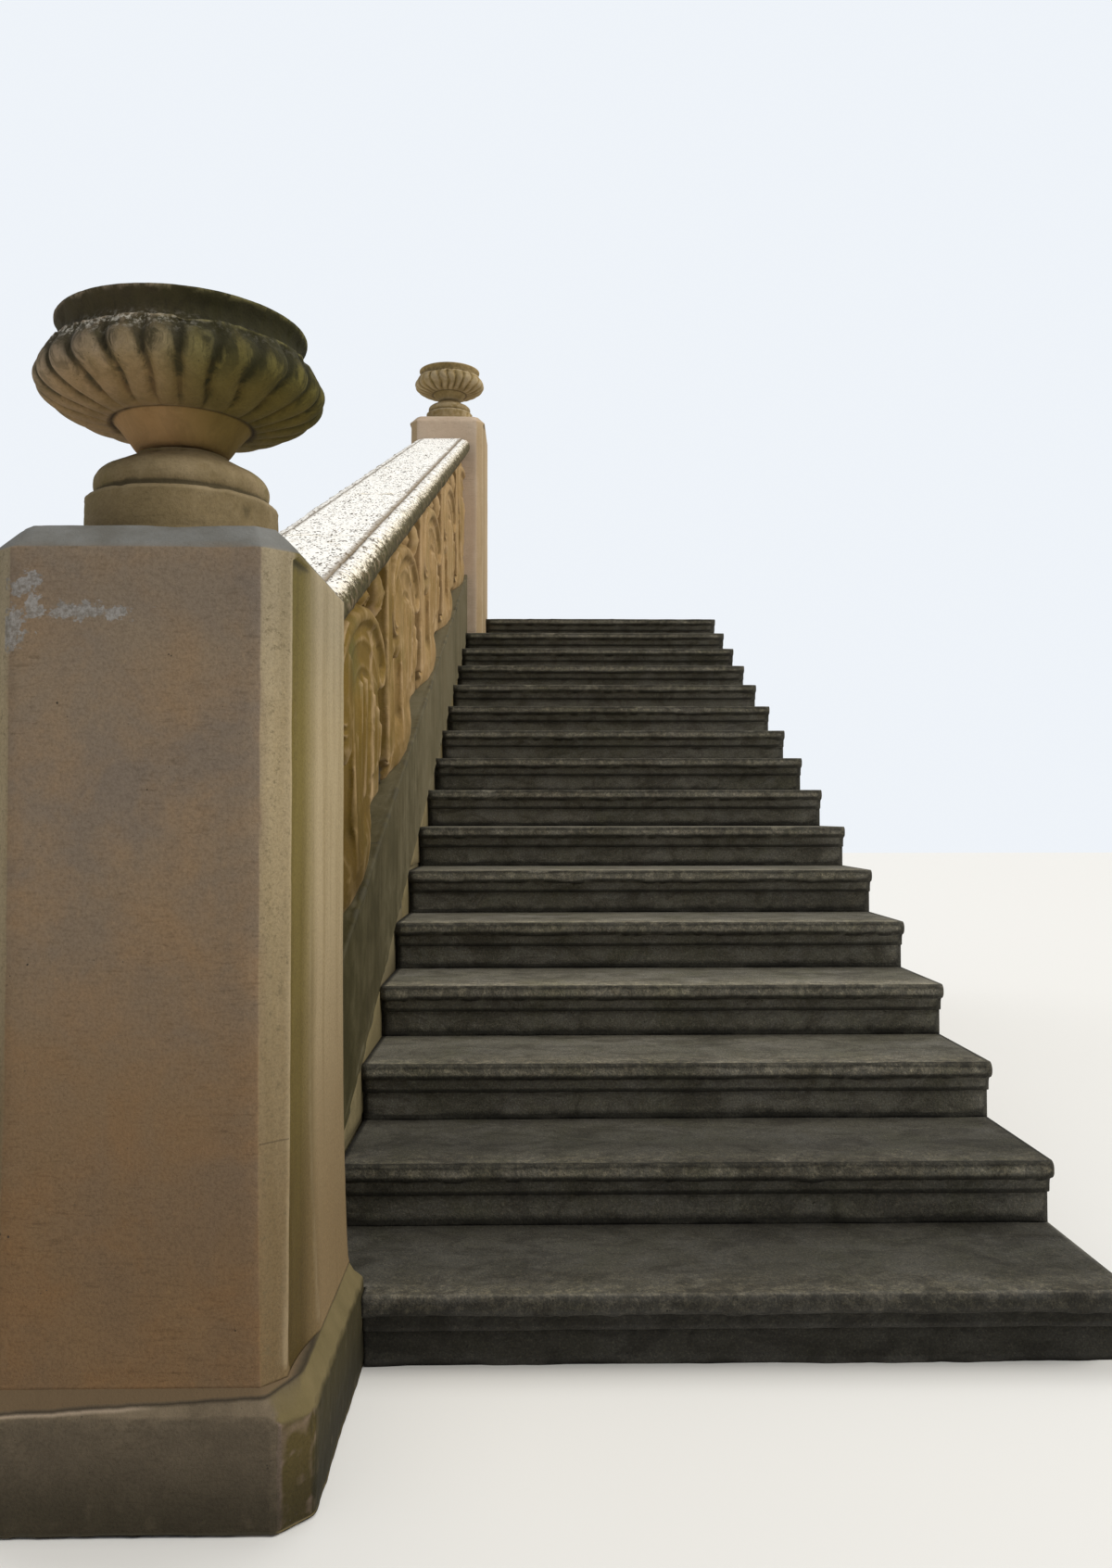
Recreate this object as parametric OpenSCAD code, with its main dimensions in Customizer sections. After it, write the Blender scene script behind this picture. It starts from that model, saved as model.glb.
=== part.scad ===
// Garden stair balustrade in weathered stone: a raking handrail over pierced scroll panels on a raking string, between
// two pedestals with gadrooned urns, bonded to the flight of moulded steps that it guards. All sizes in millimetres.
// +X points from the balustrade to the steps, +Y climbs the flight and +Z is up. The origin is the underside centre of
// the lower plinth.

/* [Flight of steps] */
// height of one riser
riser_height = 140; // [130:1:155]
// going from one riser to the next
tread_depth = 345; // [320:5:370]
// how far a nosing stands in front of its riser
nosing_overhang = 38; // [28:1:46]
// height of the rounded nosing roll
nosing_roll = 38; // [34:1:42]
// height of the fillet and hollow under the roll
nosing_hollow = 30; // [24:1:34]
// how far that fillet stands in front of the riser
nosing_fillet = 12; // [8:1:16]
// how far each step stone lies under the next
step_bed = 60; // [40:5:90]
// width of the flight from the string to its open end
stair_width = 1530; // [1200:10:1800]
// distance from the lower die to the first riser
first_riser_set = 25; // [20:1:40]
// how far the upper die's front stands before the top riser
upper_front_set = 228; // [200:1:260]

/* [Pedestals] */
// side of the lower square die
die_width = 470; // [450:5:490]
// height of the lower pedestal from the ground to its top
pedestal_height = 1463; // [1440:1:1500]
// side of the upper square die
upper_die_width = 460; // [440:5:480]
// height of the upper die over the tread that it stands on
upper_die_height = 1356; // [1330:1:1400]
// leg of the chamfer on the two front corners of a die
corner_chamfer = 50; // [35:1:60]
// height and width of the splayed top edge
cap_bevel = 42; // [30:1:48]
// how far the plinth stands out from the die
plinth_projection = 38; // [28:1:45]
// height of the plinth's upright face
plinth_height = 164; // [140:1:180]
// height of the sloped weathering on the plinth
plinth_weathering = 34; // [24:1:40]
// width over which the hollow behind a die's chamfer runs out on its flanks
flank_hollow_width = 100; // [80:1:120]
// depth of that hollow
flank_hollow_depth = 10; // [6:1:12]
// how far the lower die spreads at its foot on each side
foot_flare = 10; // [6:1:14]
// height over which it spreads
foot_flare_height = 420; // [350:5:480]
// how far the upper pedestal stands to the right of the balustrade's centre line
upper_pedestal_set = 30; // [20:1:40]

/* [Balustrade] */
// how far the balustrade's centre line stands to the right of the lower pedestal's
balustrade_set = 15; // [10:1:20]
// rake of the handrail, panels and string
rake_angle = 21; // [20:0.1:21.5]
// width of the string and of the wall under it
string_width = 308; // [280:1:330]
// upright height of the string's top edge at the lower die
string_top = 565; // [540:1:590]
// upright depth of the string stones
string_depth = 385; // [370:1:400]
// upright height of the pierced panels
panel_height = 718; // [700:1:740]
// thickness of the pierced slab of a panel
panel_thickness = 180; // [160:1:190]
// how far the ridges of the scrolls stand out from the slab on each side
relief = 58; // [40:1:60]
// width of the handrail over its rolls
rail_width = 336; // [320:1:350]
// thickness of the handrail square to its slope
rail_thickness = 104; // [96:1:112]
// radius of the roll on both edges of the handrail
rail_roll = 42; // [38:1:44]
// width of the flat top of the handrail between its rolls
rail_flat = 236; // [220:1:244]
// how deep the roll's inner side is cut under the roll's crown
rail_groove = 8; // [5:1:12]

/* [Urns] */
// height of an urn from its drum to its rim
urn_height = 365; // [350:1:380]
// widest radius of the bowl over its lobes
bowl_radius = 234; // [225:1:245]
// outer radius of the rim
rim_radius = 203; // [190:1:212]
// thickness of the rim
rim_thickness = 26; // [20:1:34]
// radius of the neck between foot and bowl
neck_radius = 76; // [68:1:82]
// radius of the drum that the urn stands on
drum_radius = 159; // [152:1:168]
// radius of the torus on the drum
foot_radius = 146; // [138:1:148]
// how deep the bowl is hollowed below its rim
bowl_depth = 120; // [90:1:130]
// how deep the grooves between the lobes are
lobe_depth = 14; // [8:1:18]
// size of the upper urn against the lower one
upper_urn_ratio = 0.92; // [0.88:0.01:0.96]

/* [Hidden] */

// counts
step_count = 16;
bay_count = 5;
lobe_count = 24;

// a little past a face in cuts
eps = 1;

// where the flight stands
die_rear = die_width / 2;
first_riser_y = die_rear + first_riser_set;
string_face = balustrade_set + string_width / 2;
flight_end_x = string_face + stair_width;
function riser_y(k) = first_riser_y + (k - 1) * tread_depth;

// where the upper pedestal stands, on the last full tread
upper_front_y = riser_y(step_count) - upper_front_set;
upper_rear_y = upper_front_y + upper_die_width;
upper_centre_y = upper_front_y + upper_die_width / 2;
upper_centre_x = balustrade_set + upper_pedestal_set;
upper_foot_z = (step_count - 1) * riser_height;
upper_top_z = upper_foot_z + upper_die_height;
plinth_top = plinth_height + plinth_weathering;

// the rake
slope = tan(rake_angle);
bay_length = (upper_front_y - die_rear) / bay_count;
function string_top_z(y) = string_top + (y - die_rear) * slope;

// gap between the plinth and the stones cut round it
joint = 2;

// urn levels over the pedestal top
drum_height = 0.214 * urn_height;
torus_foot = 0.24 * urn_height;
torus_height = 0.185 * urn_height;
neck_level = 0.435 * urn_height;
cup_level = 0.573 * urn_height;
collar_level = 0.865 * urn_height;
cup_radius = neck_radius + 32;

stone_warm = [0.66, 0.56, 0.43];
stone_carved = [0.72, 0.56, 0.38];
stone_pale = [0.86, 0.82, 0.74];
stone_grey = [0.44, 0.41, 0.38];
stone_dark = [0.36, 0.33, 0.28];

// a square block with its two front corners chamfered
module chamfered_block(width, height, chamfer) {
    half = width / 2;
    linear_extrude(height = height)
        polygon([[-half + chamfer, -half], [half - chamfer, -half], [half, -half + chamfer],
                 [half, half], [-half, half], [-half, -half + chamfer]]);
}

// a prism along one axis with splayed sides: width at the foot, splay on each side over height
module splayed_prism(width, splay, height, length) {
    translate([0, length / 2, 0])
        rotate([90, 0, 0])
            linear_extrude(height = length)
                polygon([[-width / 2, 0], [width / 2, 0], [width / 2 - splay, height], [-width / 2 + splay, height]]);
}

// the splayed top of a chamfered block, with a splay of its own on the chamfers
module splayed_top(width, splay, height, chamfer, chamfer_splay) {
    diagonal = (width - chamfer) * sqrt(2);
    intersection() {
        chamfered_block(width, height, chamfer);
        splayed_prism(width, splay, height, 2 * width);
        rotate([0, 0, 90])
            splayed_prism(width, splay, height, 2 * width);
        for (turned = [-45, 45])
            rotate([0, 0, turned])
                splayed_prism(diagonal, chamfer_splay, height, 2 * width);
    }
}

// the shallow hollow that runs down both flanks of a die, deepest at the chamfer
module flank_hollows(width, z_from, z_to) {
    radius = (flank_hollow_width * flank_hollow_width + flank_hollow_depth * flank_hollow_depth) / (2 * flank_hollow_depth);
    y_deepest = -width / 2 + 0.8 * corner_chamfer;
    for (side = [-1, 1])
        translate([side * (width / 2 + radius - flank_hollow_depth), y_deepest, z_from])
            cylinder(r = radius, h = z_to - z_from, $fn = 96);
}

module die(width, height, flare) {
    difference() {
        union() {
            chamfered_block(width, height - cap_bevel, corner_chamfer);
            translate([0, 0, height - cap_bevel])
                splayed_top(width, cap_bevel, cap_bevel, corner_chamfer, cap_bevel);
            if (flare > 0)
                splayed_top(width + 2 * flare, flare, foot_flare_height, corner_chamfer, flare * sqrt(2));
        }
        flank_hollows(width, -eps, height - cap_bevel - 6);
    }
}

module lower_plinth() {
    plinth_width = die_width + 2 * plinth_projection;
    splay = plinth_projection - foot_flare;
    color(stone_warm)
        difference() {
            union() {
                chamfered_block(plinth_width, plinth_height, corner_chamfer);
                translate([0, 0, plinth_height])
                    splayed_top(plinth_width, splay, plinth_weathering, corner_chamfer, splay * sqrt(2));
            }
            translate([string_face - string_width - joint, die_rear, -eps])
                cube([string_width + 2 * joint, plinth_projection + eps, plinth_top + 2 * eps]);
        }
}

module lower_die() {
    color(stone_warm)
        translate([0, 0, plinth_top])
            die(die_width, pedestal_height - plinth_top, foot_flare);
}

module upper_die() {
    color(stone_warm)
        translate([upper_centre_x, upper_centre_y, upper_foot_z])
            die(upper_die_width, upper_die_height, 0);
}

// the masonry under the upper die, down to the ground
module upper_pier() {
    color(stone_grey)
        translate([upper_centre_x - upper_die_width / 2, upper_front_y, 0])
            cube([string_face - upper_centre_x + upper_die_width / 2, upper_die_width, upper_foot_z]);
}

// drum, torus and half of the neck
module urn_foot() {
    neck_foot = neck_radius + 4;
    color(stone_warm)
        rotate_extrude($fn = 72)
            polygon(concat(
                [[0, 0], [drum_radius, 0], [drum_radius, drum_height - 6], [drum_radius - 6, drum_height],
                 [foot_radius - 8, drum_height], [foot_radius - 8, torus_foot - 4]],
                [for (i = [-2:8]) let (a = i * 90 / 8)
                    [neck_foot + (foot_radius - neck_foot) * cos(a), torus_foot + torus_height * max(sin(a), sin(a) * 0.1)]],
                [[neck_radius, neck_level], [0, neck_level]]));
}

// outline of the lobed part as [radius, level, depth of the grooves there]
function lobe_rows() = [
    [cup_radius - 10, cup_level - 4, 0],
    [cup_radius + 6, cup_level - 6, 0.5],
    [bowl_radius * 0.65, cup_level, 1],
    [bowl_radius * 0.78, cup_level + 10, 1],
    [bowl_radius * 0.9, cup_level + 26, 1],
    [bowl_radius * 0.97, cup_level + 40, 1],
    [bowl_radius, cup_level + 55, 1],
    [bowl_radius * 0.99, cup_level + 68, 0.9],
    [bowl_radius * 0.95, cup_level + 84, 0.7],
    [rim_radius + 6, collar_level, 0.2],
    [rim_radius - 6, collar_level + 2, 0]];

// the ring of gadrooned lobes
module lobed_body() {
    rows = lobe_rows();
    per_lobe = 4;
    around = lobe_count * per_lobe;
    count = len(rows);
    points = [for (row = rows) for (j = [0:around - 1])
        let (a = j * 360 / around,
             swell = abs(sin(a * lobe_count / 2)),
             r = row[0] - lobe_depth * row[2] * (1 - swell))
        [r * cos(a), r * sin(a), row[1]]];
    sides = [for (i = [0:count - 2]) for (j = [0:around - 1])
        let (k = (j + 1) % around)
        [i * around + j, (i + 1) * around + j, (i + 1) * around + k, i * around + k]];
    polyhedron(
        points = points,
        faces = concat([[for (j = [0:around - 1]) j]], sides,
                       [[for (j = [around - 1:-1:0]) (count - 1) * around + j]]));
}

module urn_bowl() {
    color(stone_dark)
        difference() {
            union() {
                rotate_extrude($fn = 72)
                    polygon([[0, neck_level], [neck_radius, neck_level], [neck_radius + 3, neck_level + 8],
                             [neck_radius + 14, neck_level + 24], [cup_radius, cup_level],
                             [cup_radius, cup_level + 20], [0, cup_level + 20]]);
                lobed_body();
                rotate_extrude($fn = 72)
                    polygon([[0, collar_level - 20], [rim_radius - 6, collar_level - 20],
                             [rim_radius - 3, urn_height - 12], [rim_radius, urn_height - 8],
                             [rim_radius - 4, urn_height], [0, urn_height]]);
            }
            rotate_extrude($fn = 72)
                polygon([[0, urn_height - bowl_depth], [rim_radius * 0.5, urn_height - bowl_depth],
                         [rim_radius * 0.8, urn_height - bowl_depth * 0.7],
                         [rim_radius - rim_thickness, urn_height - bowl_depth * 0.35],
                         [rim_radius - rim_thickness, urn_height + eps], [0, urn_height + eps]]);
        }
}

module lower_urn_foot() {
    translate([0, 0, pedestal_height])
        urn_foot();
}

module lower_urn_bowl() {
    translate([0, 0, pedestal_height])
        urn_bowl();
}

module upper_urn_foot() {
    translate([upper_centre_x, upper_centre_y, upper_top_z])
        scale(upper_urn_ratio)
            urn_foot();
}

module upper_urn_bowl() {
    translate([upper_centre_x, upper_centre_y, upper_top_z])
        scale(upper_urn_ratio)
            urn_bowl();
}

// draws a side view, with X as the way up the flight, and extrudes it across the balustrade
module across(width) {
    translate([balustrade_set - width / 2, 0, 0])
        rotate([90, 0, 90])
            linear_extrude(height = width)
                children();
}

// the strip between two raking lines over one bay
module raked_strip(bay, z_low, z_high, width) {
    y0 = die_rear + (bay - 1) * bay_length;
    y1 = y0 + bay_length;
    across(width)
        polygon([[y0, z_low + (y0 - die_rear) * slope], [y1, z_low + (y1 - die_rear) * slope],
                 [y1, z_high + (y1 - die_rear) * slope], [y0, z_high + (y0 - die_rear) * slope]]);
}

module string_stone(bay) {
    color(stone_grey)
        raked_strip(bay, string_top - string_depth, string_top, string_width);
}

// the wall under the string, down to the ground
module string_wall() {
    color(stone_grey)
        across(string_width)
            polygon([[die_rear, 0], [upper_front_y, 0],
                     [upper_front_y, string_top_z(upper_front_y) - string_depth],
                     [die_rear, string_top_z(die_rear) - string_depth]]);
}

// section of the handrail square to its slope, flat top with a groove and a roll on both edges
module rail_section() {
    half = rail_width / 2;
    roll_level = rail_thickness - rail_roll - 6;
    for (side = [-1, 1])
        translate([side * (half - rail_roll), roll_level])
            circle(r = rail_roll, $fn = 48);
    translate([-half + rail_roll, 0])
        square([rail_width - 2 * rail_roll, roll_level + rail_roll - rail_groove]);
    translate([-rail_flat / 2, 0])
        square([rail_flat, rail_thickness]);
}

module handrail(bay) {
    y0 = die_rear + (bay - 1) * bay_length;
    color(stone_pale)
        intersection() {
            translate([balustrade_set, die_rear, string_top + panel_height])
                rotate([rake_angle, 0, 0])
                    rotate([90, 0, 0])
                        translate([0, 0, -2 * bay_count * bay_length])
                            linear_extrude(height = 2 * bay_count * bay_length + 200)
                                rail_section();
            translate([-rail_width, y0, 0])
                cube([2 * rail_width, bay_length, 3 * upper_top_z]);
        }
}

// points along an arc or a spiral that goes from radius r0 to r1 while it turns from a0 to a1
function turn(centre, r0, r1, a0, a1, count) =
    [for (i = [0:count]) let (t = i / count, a = a0 + (a1 - a0) * t, r = r0 + (r1 - r0) * t) centre + r * [cos(a), sin(a)]];

// which way a line of points runs at one of them
function heading(points, i) =
    let (last = len(points) - 1, step = points[min(i + 1, last)] - points[max(i - 1, 0)]) step / norm(step);

// one side of a band along a line of points, its width going from w0 to w1
function edge(points, w0, w1, side) =
    let (last = len(points) - 1)
    [for (i = [0:last]) let (d = heading(points, i)) points[i] + side * [-d[1], d[0]] * (w0 + (w1 - w0) * i / last) / 2];

// the same points in the other order
function back(points) = [for (i = [len(points) - 1:-1:0]) points[i]];

// outline of a band along a line of points
function band(points, w0, w1) = concat(edge(points, w0, w1, 1), back(edge(points, w0, w1, -1)));

// points of a leaf from one end to the other, fullest at the middle
function leaf(from, to, breadth, count) =
    let (along = to - from, size = norm(along), side = [-along[1], along[0]] / size)
    concat([for (i = [0:count]) let (t = i / count) from + along * t + side * breadth / 2 * sin(180 * t)],
           [for (i = [count - 1:-1:1]) let (t = i / count) from + along * t - side * breadth / 2 * sin(180 * t)]);

// the same points on the rake
function raked(points) = [for (p = points) [p[0], p[1] + p[0] * slope]];

// sizes that the carving is drawn with: a bay's length and height
l = bay_length;
h = panel_height;

// the angle at which an arc round a centre just after a joint starts just before that joint
function from_joint(radius) = acos(-0.03 * l / radius);

// the two halves of the arched scroll that stands on a joint between two bays, each ending in a hooked curl
arch_after = concat(turn([0.025 * l, 0.571 * h], 0.302 * h, 0.302 * h, from_joint(0.302 * h), 5, 11),
                    turn([0.2 * l, 0.571 * h], 0.067 * h, 0.036 * h, 0, -250, 9));
arch_before = concat(turn([0, 0.612 * h], 0.262 * h, 0.262 * h, 88, 175, 10),
                     turn([-0.15 * l, 0.612 * h], 0.06 * h, 0.034 * h, 180, 420, 9));
inner_after = turn([0.025 * l, 0.571 * h], 0.222 * h, 0.222 * h, from_joint(0.222 * h), 15, 9);
inner_before = turn([0, 0.612 * h], 0.188 * h, 0.188 * h, 88, 165, 9);

// the two scrolls in the middle of a bay
low_scroll = turn([0.455 * l, 0.356 * h], 0.255 * h, 0.06 * h, -50, -470, 26);
high_scroll = turn([0.535 * l, 0.76 * h], 0.19 * h, 0.052 * h, 80, 470, 24);

// the raking outline of one bay in side view
module bay_outline() {
    polygon(raked([[0, 0], [l, 0], [l, h], [0, h]]));
}

// what is drawn round the joint at one end of the bay
module round_joint(u) {
    translate([u, u * slope])
        children();
}

// the scrolls in side view, share of their full width
module scrollwork(share) {
    wide = 0.07 * h * share;
    narrow = 0.038 * h * share;
    for (u = [0, l])
        round_joint(u) {
            polygon(raked(band(arch_after, wide, narrow)));
            polygon(raked(band(arch_before, wide, narrow)));
        }
    polygon(raked(band(low_scroll, 0.078 * h * share, narrow)));
    polygon(raked(band(high_scroll, 0.07 * h * share, narrow)));
}

// the lower ridges inside the arched scroll
module inner_ridges() {
    for (u = [0, l])
        round_joint(u) {
            polygon(raked(band(inner_after, 0.045 * h, 0.03 * h)));
            polygon(raked(band(inner_before, 0.045 * h, 0.03 * h)));
        }
}

// the reeded stems under the arched scroll
module stems() {
    for (u = [0, l])
        round_joint(u)
            for (x = [-0.08, 0, 0.08])
                polygon(raked([[x * l - 16, 0.16 * h], [x * l + 16, 0.16 * h],
                               [x * l + 19, 0.62 * h], [x * l - 19, 0.62 * h]]));
}

// the leaves that fill the slab between the scrolls
module leafwork() {
    polygon(raked(leaf([0.33 * l, h], [0.35 * l, 0.64 * h], 0.16 * h, 10)));
    polygon(raked(leaf([0.46 * l, 0.44 * h], [0.53 * l, 0.7 * h], 0.13 * h, 8)));
    polygon(raked(leaf([0.54 * l, 0.2 * h], [0.66 * l, 0.03 * h], 0.13 * h, 8)));
    polygon(raked(leaf([0.44 * l, 0.02 * h], [0.46 * l, 0.16 * h], 0.1 * h, 8)));
    polygon(raked(leaf([0.62 * l, 0.96 * h], [0.67 * l, 0.6 * h], 0.1 * h, 8)));
    polygon(raked(leaf([0.74 * l, 0.5 * h], [0.83 * l, 0.62 * h], 0.12 * h, 8)));
    polygon(raked(leaf([0.27 * l, 0.6 * h], [0.34 * l, 0.34 * h], 0.11 * h, 8)));
    polygon(raked(leaf([0.2 * l, 0.52 * h], [0.08 * l, 0.12 * h], 0.1 * h, 8)));
    polygon(raked(leaf([0.84 * l, 0.57 * h], [0.92 * l, 0.18 * h], 0.1 * h, 8)));
    for (u = [0, l])
        round_joint(u) {
            polygon(raked([[-0.105 * l, 0], [0.1 * l, 0], [0.11 * l, 0.62 * h], [0, 0.8 * h], [-0.11 * l, 0.62 * h]]));
            polygon(raked(leaf([0.17 * l, 1.05 * h], [0.21 * l, 0.82 * h], 0.12 * h, 8)));
            polygon(raked(leaf([-0.2 * l, 1.05 * h], [-0.16 * l, 0.8 * h], 0.12 * h, 8)));
            polygon(raked(leaf([-0.02 * l, 1.05 * h], [0.01 * l, 0.84 * h], 0.16 * h, 8)));
        }
}

// the rim that runs under the handrail and on the string
module rims() {
    rim = 0.06 * h;
    polygon(raked([[0, 0], [l, 0], [l, rim], [0, rim]]));
    polygon(raked([[0, h - rim], [l, h - rim], [l, h], [0, h]]));
}

// the console that hangs from the handrail: its near and far faces in side view, from foot to head
console_gap = 0.02 * h;
near_face = raked([[0.655 * l, console_gap], [0.685 * l, h]]);
far_face = raked([[0.775 * l, console_gap], [0.745 * l, h]]);
console_foot = panel_thickness / 2 + relief;
console_head = panel_thickness / 2 + relief * 0.6;

// half of the console's thickness at a level over the bay's corner
function console_out(z) = console_foot + (console_head - console_foot) * (z - near_face[0][1]) / (far_face[1][1] - near_face[0][1]);

// a point on a face of the console, a share of the way from foot to head and of the way out from the middle
function on_console(face, share, out) =
    let (p = face[0] + (face[1] - face[0]) * share)
    [balustrade_set + out * console_out(p[1]), p[0], p[1]];

// a round rod between two points
module rod(from, to, radius) {
    along = to - from;
    translate(from)
        rotate([0, acos(along[2] / norm(along)), atan2(along[1], along[0])])
            cylinder(r = radius, h = norm(along), $fn = 24);
}

// the tapered console, thickest at its foot
module console() {
    z_low = near_face[0][1];
    z_high = far_face[1][1];
    intersection() {
        across(string_width)
            polygon(concat(near_face, back(far_face)));
        translate([balustrade_set, l, 0])
            rotate([90, 0, 0])
                linear_extrude(height = l)
                    polygon([[-console_foot, z_low], [console_foot, z_low], [console_head, z_high], [-console_head, z_high]]);
    }
}

// the flutes between the reeds of the console, on its near, far and outer sides
module console_flutes() {
    flute = 0.009 * l;
    for (side = [-1, 1]) {
        for (face = [near_face, far_face])
            for (out = [0.66, 0.85])
                rod(on_console(face, -0.1, side * out), on_console(face, 1.1, side * out), flute);
        for (across_face = [0.33, 0.67])
            rod(on_console(near_face + (far_face - near_face) * across_face, -0.1, side),
                on_console(near_face + (far_face - near_face) * across_face, 1.1, side), flute);
    }
}

// a solid bud or leaf body from one point to another, on both faces of the panel
module bud(from, to, radius, x) {
    foot = raked([from])[0];
    along = raked([to])[0] - foot;
    size = norm(along);
    for (side = [-1, 1])
        translate([balustrade_set + side * x, foot[0], foot[1]])
            rotate([-atan2(along[0], along[1]), 0, 0])
                rotate_extrude($fn = 24)
                    polygon([[0, 0], [0.62 * radius, 0.14 * size], [0.95 * radius, 0.35 * size], [radius, 0.5 * size],
                             [0.9 * radius, 0.7 * size], [0.55 * radius, 0.88 * size], [0, size]]);
}

module buds() {
    face = panel_thickness / 2;
    for (u = [0, l]) {
        bud([u - 0.24 * l, 0.04 * h], [u + 0.05 * l, 0.2 * h], 0.08 * h, face - 4);
        bud([u + 0.2 * l, h], [u + 0.21 * l, 0.79 * h], 0.05 * h, face + 10);
    }
    bud([0.235 * l, -0.04 * h], [0.25 * l, 0.2 * h], 0.06 * h, face + 6);
    bud([0.33 * l, h], [0.345 * l, 0.68 * h], 0.064 * h, face + 4);
}

module panel(bay) {
    y0 = die_rear + (bay - 1) * bay_length;
    color(stone_carved)
        translate([0, y0, string_top_z(y0)]) {
            across(panel_thickness)
                intersection() {
                    bay_outline();
                    union() {
                        rims();
                        leafwork();
                        scrollwork(1);
                        inner_ridges();
                    }
                }
            across(panel_thickness + relief)
                intersection() {
                    bay_outline();
                    inner_ridges();
                }
            across(panel_thickness + 2 * relief)
                intersection() {
                    bay_outline();
                    union() {
                        scrollwork(0.55);
                        stems();
                    }
                }
            difference() {
                console();
                console_flutes();
            }
            intersection() {
                across(string_width)
                    bay_outline();
                buds();
            }
        }
}

// a step stone in side view: riser, hollow, roll and a flat tread that runs under the next step
module step_profile(k, bed) {
    y0 = riser_y(k);
    z0 = (k - 1) * riser_height;
    z1 = k * riser_height;
    roll = nosing_roll / 2;
    rear = riser_y(k + 1) + bed;
    fillet_y = y0 - nosing_fillet;
    roll_y = y0 - nosing_overhang + roll;
    hollow_top = z1 - nosing_roll - 2;
    hollow_foot = hollow_top - nosing_hollow * 0.7;
    translate([roll_y, z1 - roll])
        circle(r = roll, $fn = 32);
    polygon(concat(
        [[y0, z0], [rear, z0], [rear, z1], [roll_y, z1], [roll_y, z1 - nosing_roll]],
        [for (i = [0:5]) let (a = i * 90 / 5)
            [fillet_y - (fillet_y - roll_y) * (1 - sin(a)) * 0.8, hollow_top - (hollow_top - hollow_foot) * (1 - cos(a))]],
        [[fillet_y, hollow_top - nosing_hollow], [y0, hollow_top - nosing_hollow - 2]]));
}

module step_stone(k, x_from, rear_y) {
    color(stone_dark)
        difference() {
            translate([x_from, 0, 0])
                rotate([90, 0, 90])
                    linear_extrude(height = flight_end_x - x_from)
                        step_profile(k, k == step_count ? 0 : step_bed);
            translate([-eps, rear_y, (k - 1) * riser_height - eps])
                cube([flight_end_x + 2 * eps, 2 * tread_depth, riser_height + 2 * eps]);
        }
}

// the first step is cut round the back corner of the plinth
module step_1() {
    plinth_side = die_width / 2 + plinth_projection;
    difference() {
        step_stone(1, string_face, upper_rear_y);
        translate([string_face - eps, first_riser_y - nosing_overhang - eps, -eps])
            cube([plinth_side + joint - string_face + eps,
                  plinth_side + joint - first_riser_y + nosing_overhang + eps, riser_height + 2 * eps]);
    }
}

module step_2() { step_stone(2, string_face, upper_rear_y); }
module step_3() { step_stone(3, string_face, upper_rear_y); }
module step_4() { step_stone(4, string_face, upper_rear_y); }
module step_5() { step_stone(5, string_face, upper_rear_y); }
module step_6() { step_stone(6, string_face, upper_rear_y); }
module step_7() { step_stone(7, string_face, upper_rear_y); }
module step_8() { step_stone(8, string_face, upper_rear_y); }
module step_9() { step_stone(9, string_face, upper_rear_y); }
module step_10() { step_stone(10, string_face, upper_rear_y); }
module step_11() { step_stone(11, string_face, upper_rear_y); }
module step_12() { step_stone(12, string_face, upper_rear_y); }
module step_13() { step_stone(13, string_face, upper_rear_y); }
module step_14() { step_stone(14, string_face, upper_rear_y); }
module step_15() { step_stone(15, string_face, upper_rear_y); }

// the landing edge starts beside the upper die
module step_16() { step_stone(16, upper_centre_x + upper_die_width / 2, upper_rear_y); }

// the fill under the steps, stepped to their beds
module stair_core() {
    color(stone_grey)
        translate([string_face, 0, 0])
            rotate([90, 0, 90])
                linear_extrude(height = stair_width)
                    polygon(concat(
                        [[riser_y(2) + step_bed, 0], [upper_rear_y, 0], [upper_rear_y, (step_count - 1) * riser_height]],
                        [for (k = [step_count - 1:-1:1]) for (end = [1, 0])
                            [riser_y(k + 1) + step_bed, (k - 1 + end) * riser_height]]));
}

module handrail_1() { handrail(1); }
module handrail_2() { handrail(2); }
module handrail_3() { handrail(3); }
module handrail_4() { handrail(4); }
module handrail_5() { handrail(5); }
module panel_1() { panel(1); }
module panel_2() { panel(2); }
module panel_3() { panel(3); }
module panel_4() { panel(4); }
module panel_5() { panel(5); }
module string_1() { string_stone(1); }
module string_2() { string_stone(2); }
module string_3() { string_stone(3); }
module string_4() { string_stone(4); }
module string_5() { string_stone(5); }

lower_plinth();
lower_die();
lower_urn_foot();
lower_urn_bowl();
upper_pier();
upper_die();
upper_urn_foot();
upper_urn_bowl();
handrail_1();
handrail_2();
handrail_3();
handrail_4();
handrail_5();
panel_1();
panel_2();
panel_3();
panel_4();
panel_5();
string_1();
string_2();
string_3();
string_4();
string_5();
string_wall();
step_1();
step_2();
step_3();
step_4();
step_5();
step_6();
step_7();
step_8();
step_9();
step_10();
step_11();
step_12();
step_13();
step_14();
step_15();
step_16();
stair_core();
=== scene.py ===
import math
import bpy
import bmesh
import numpy as np
from mathutils import Matrix, Vector


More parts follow.
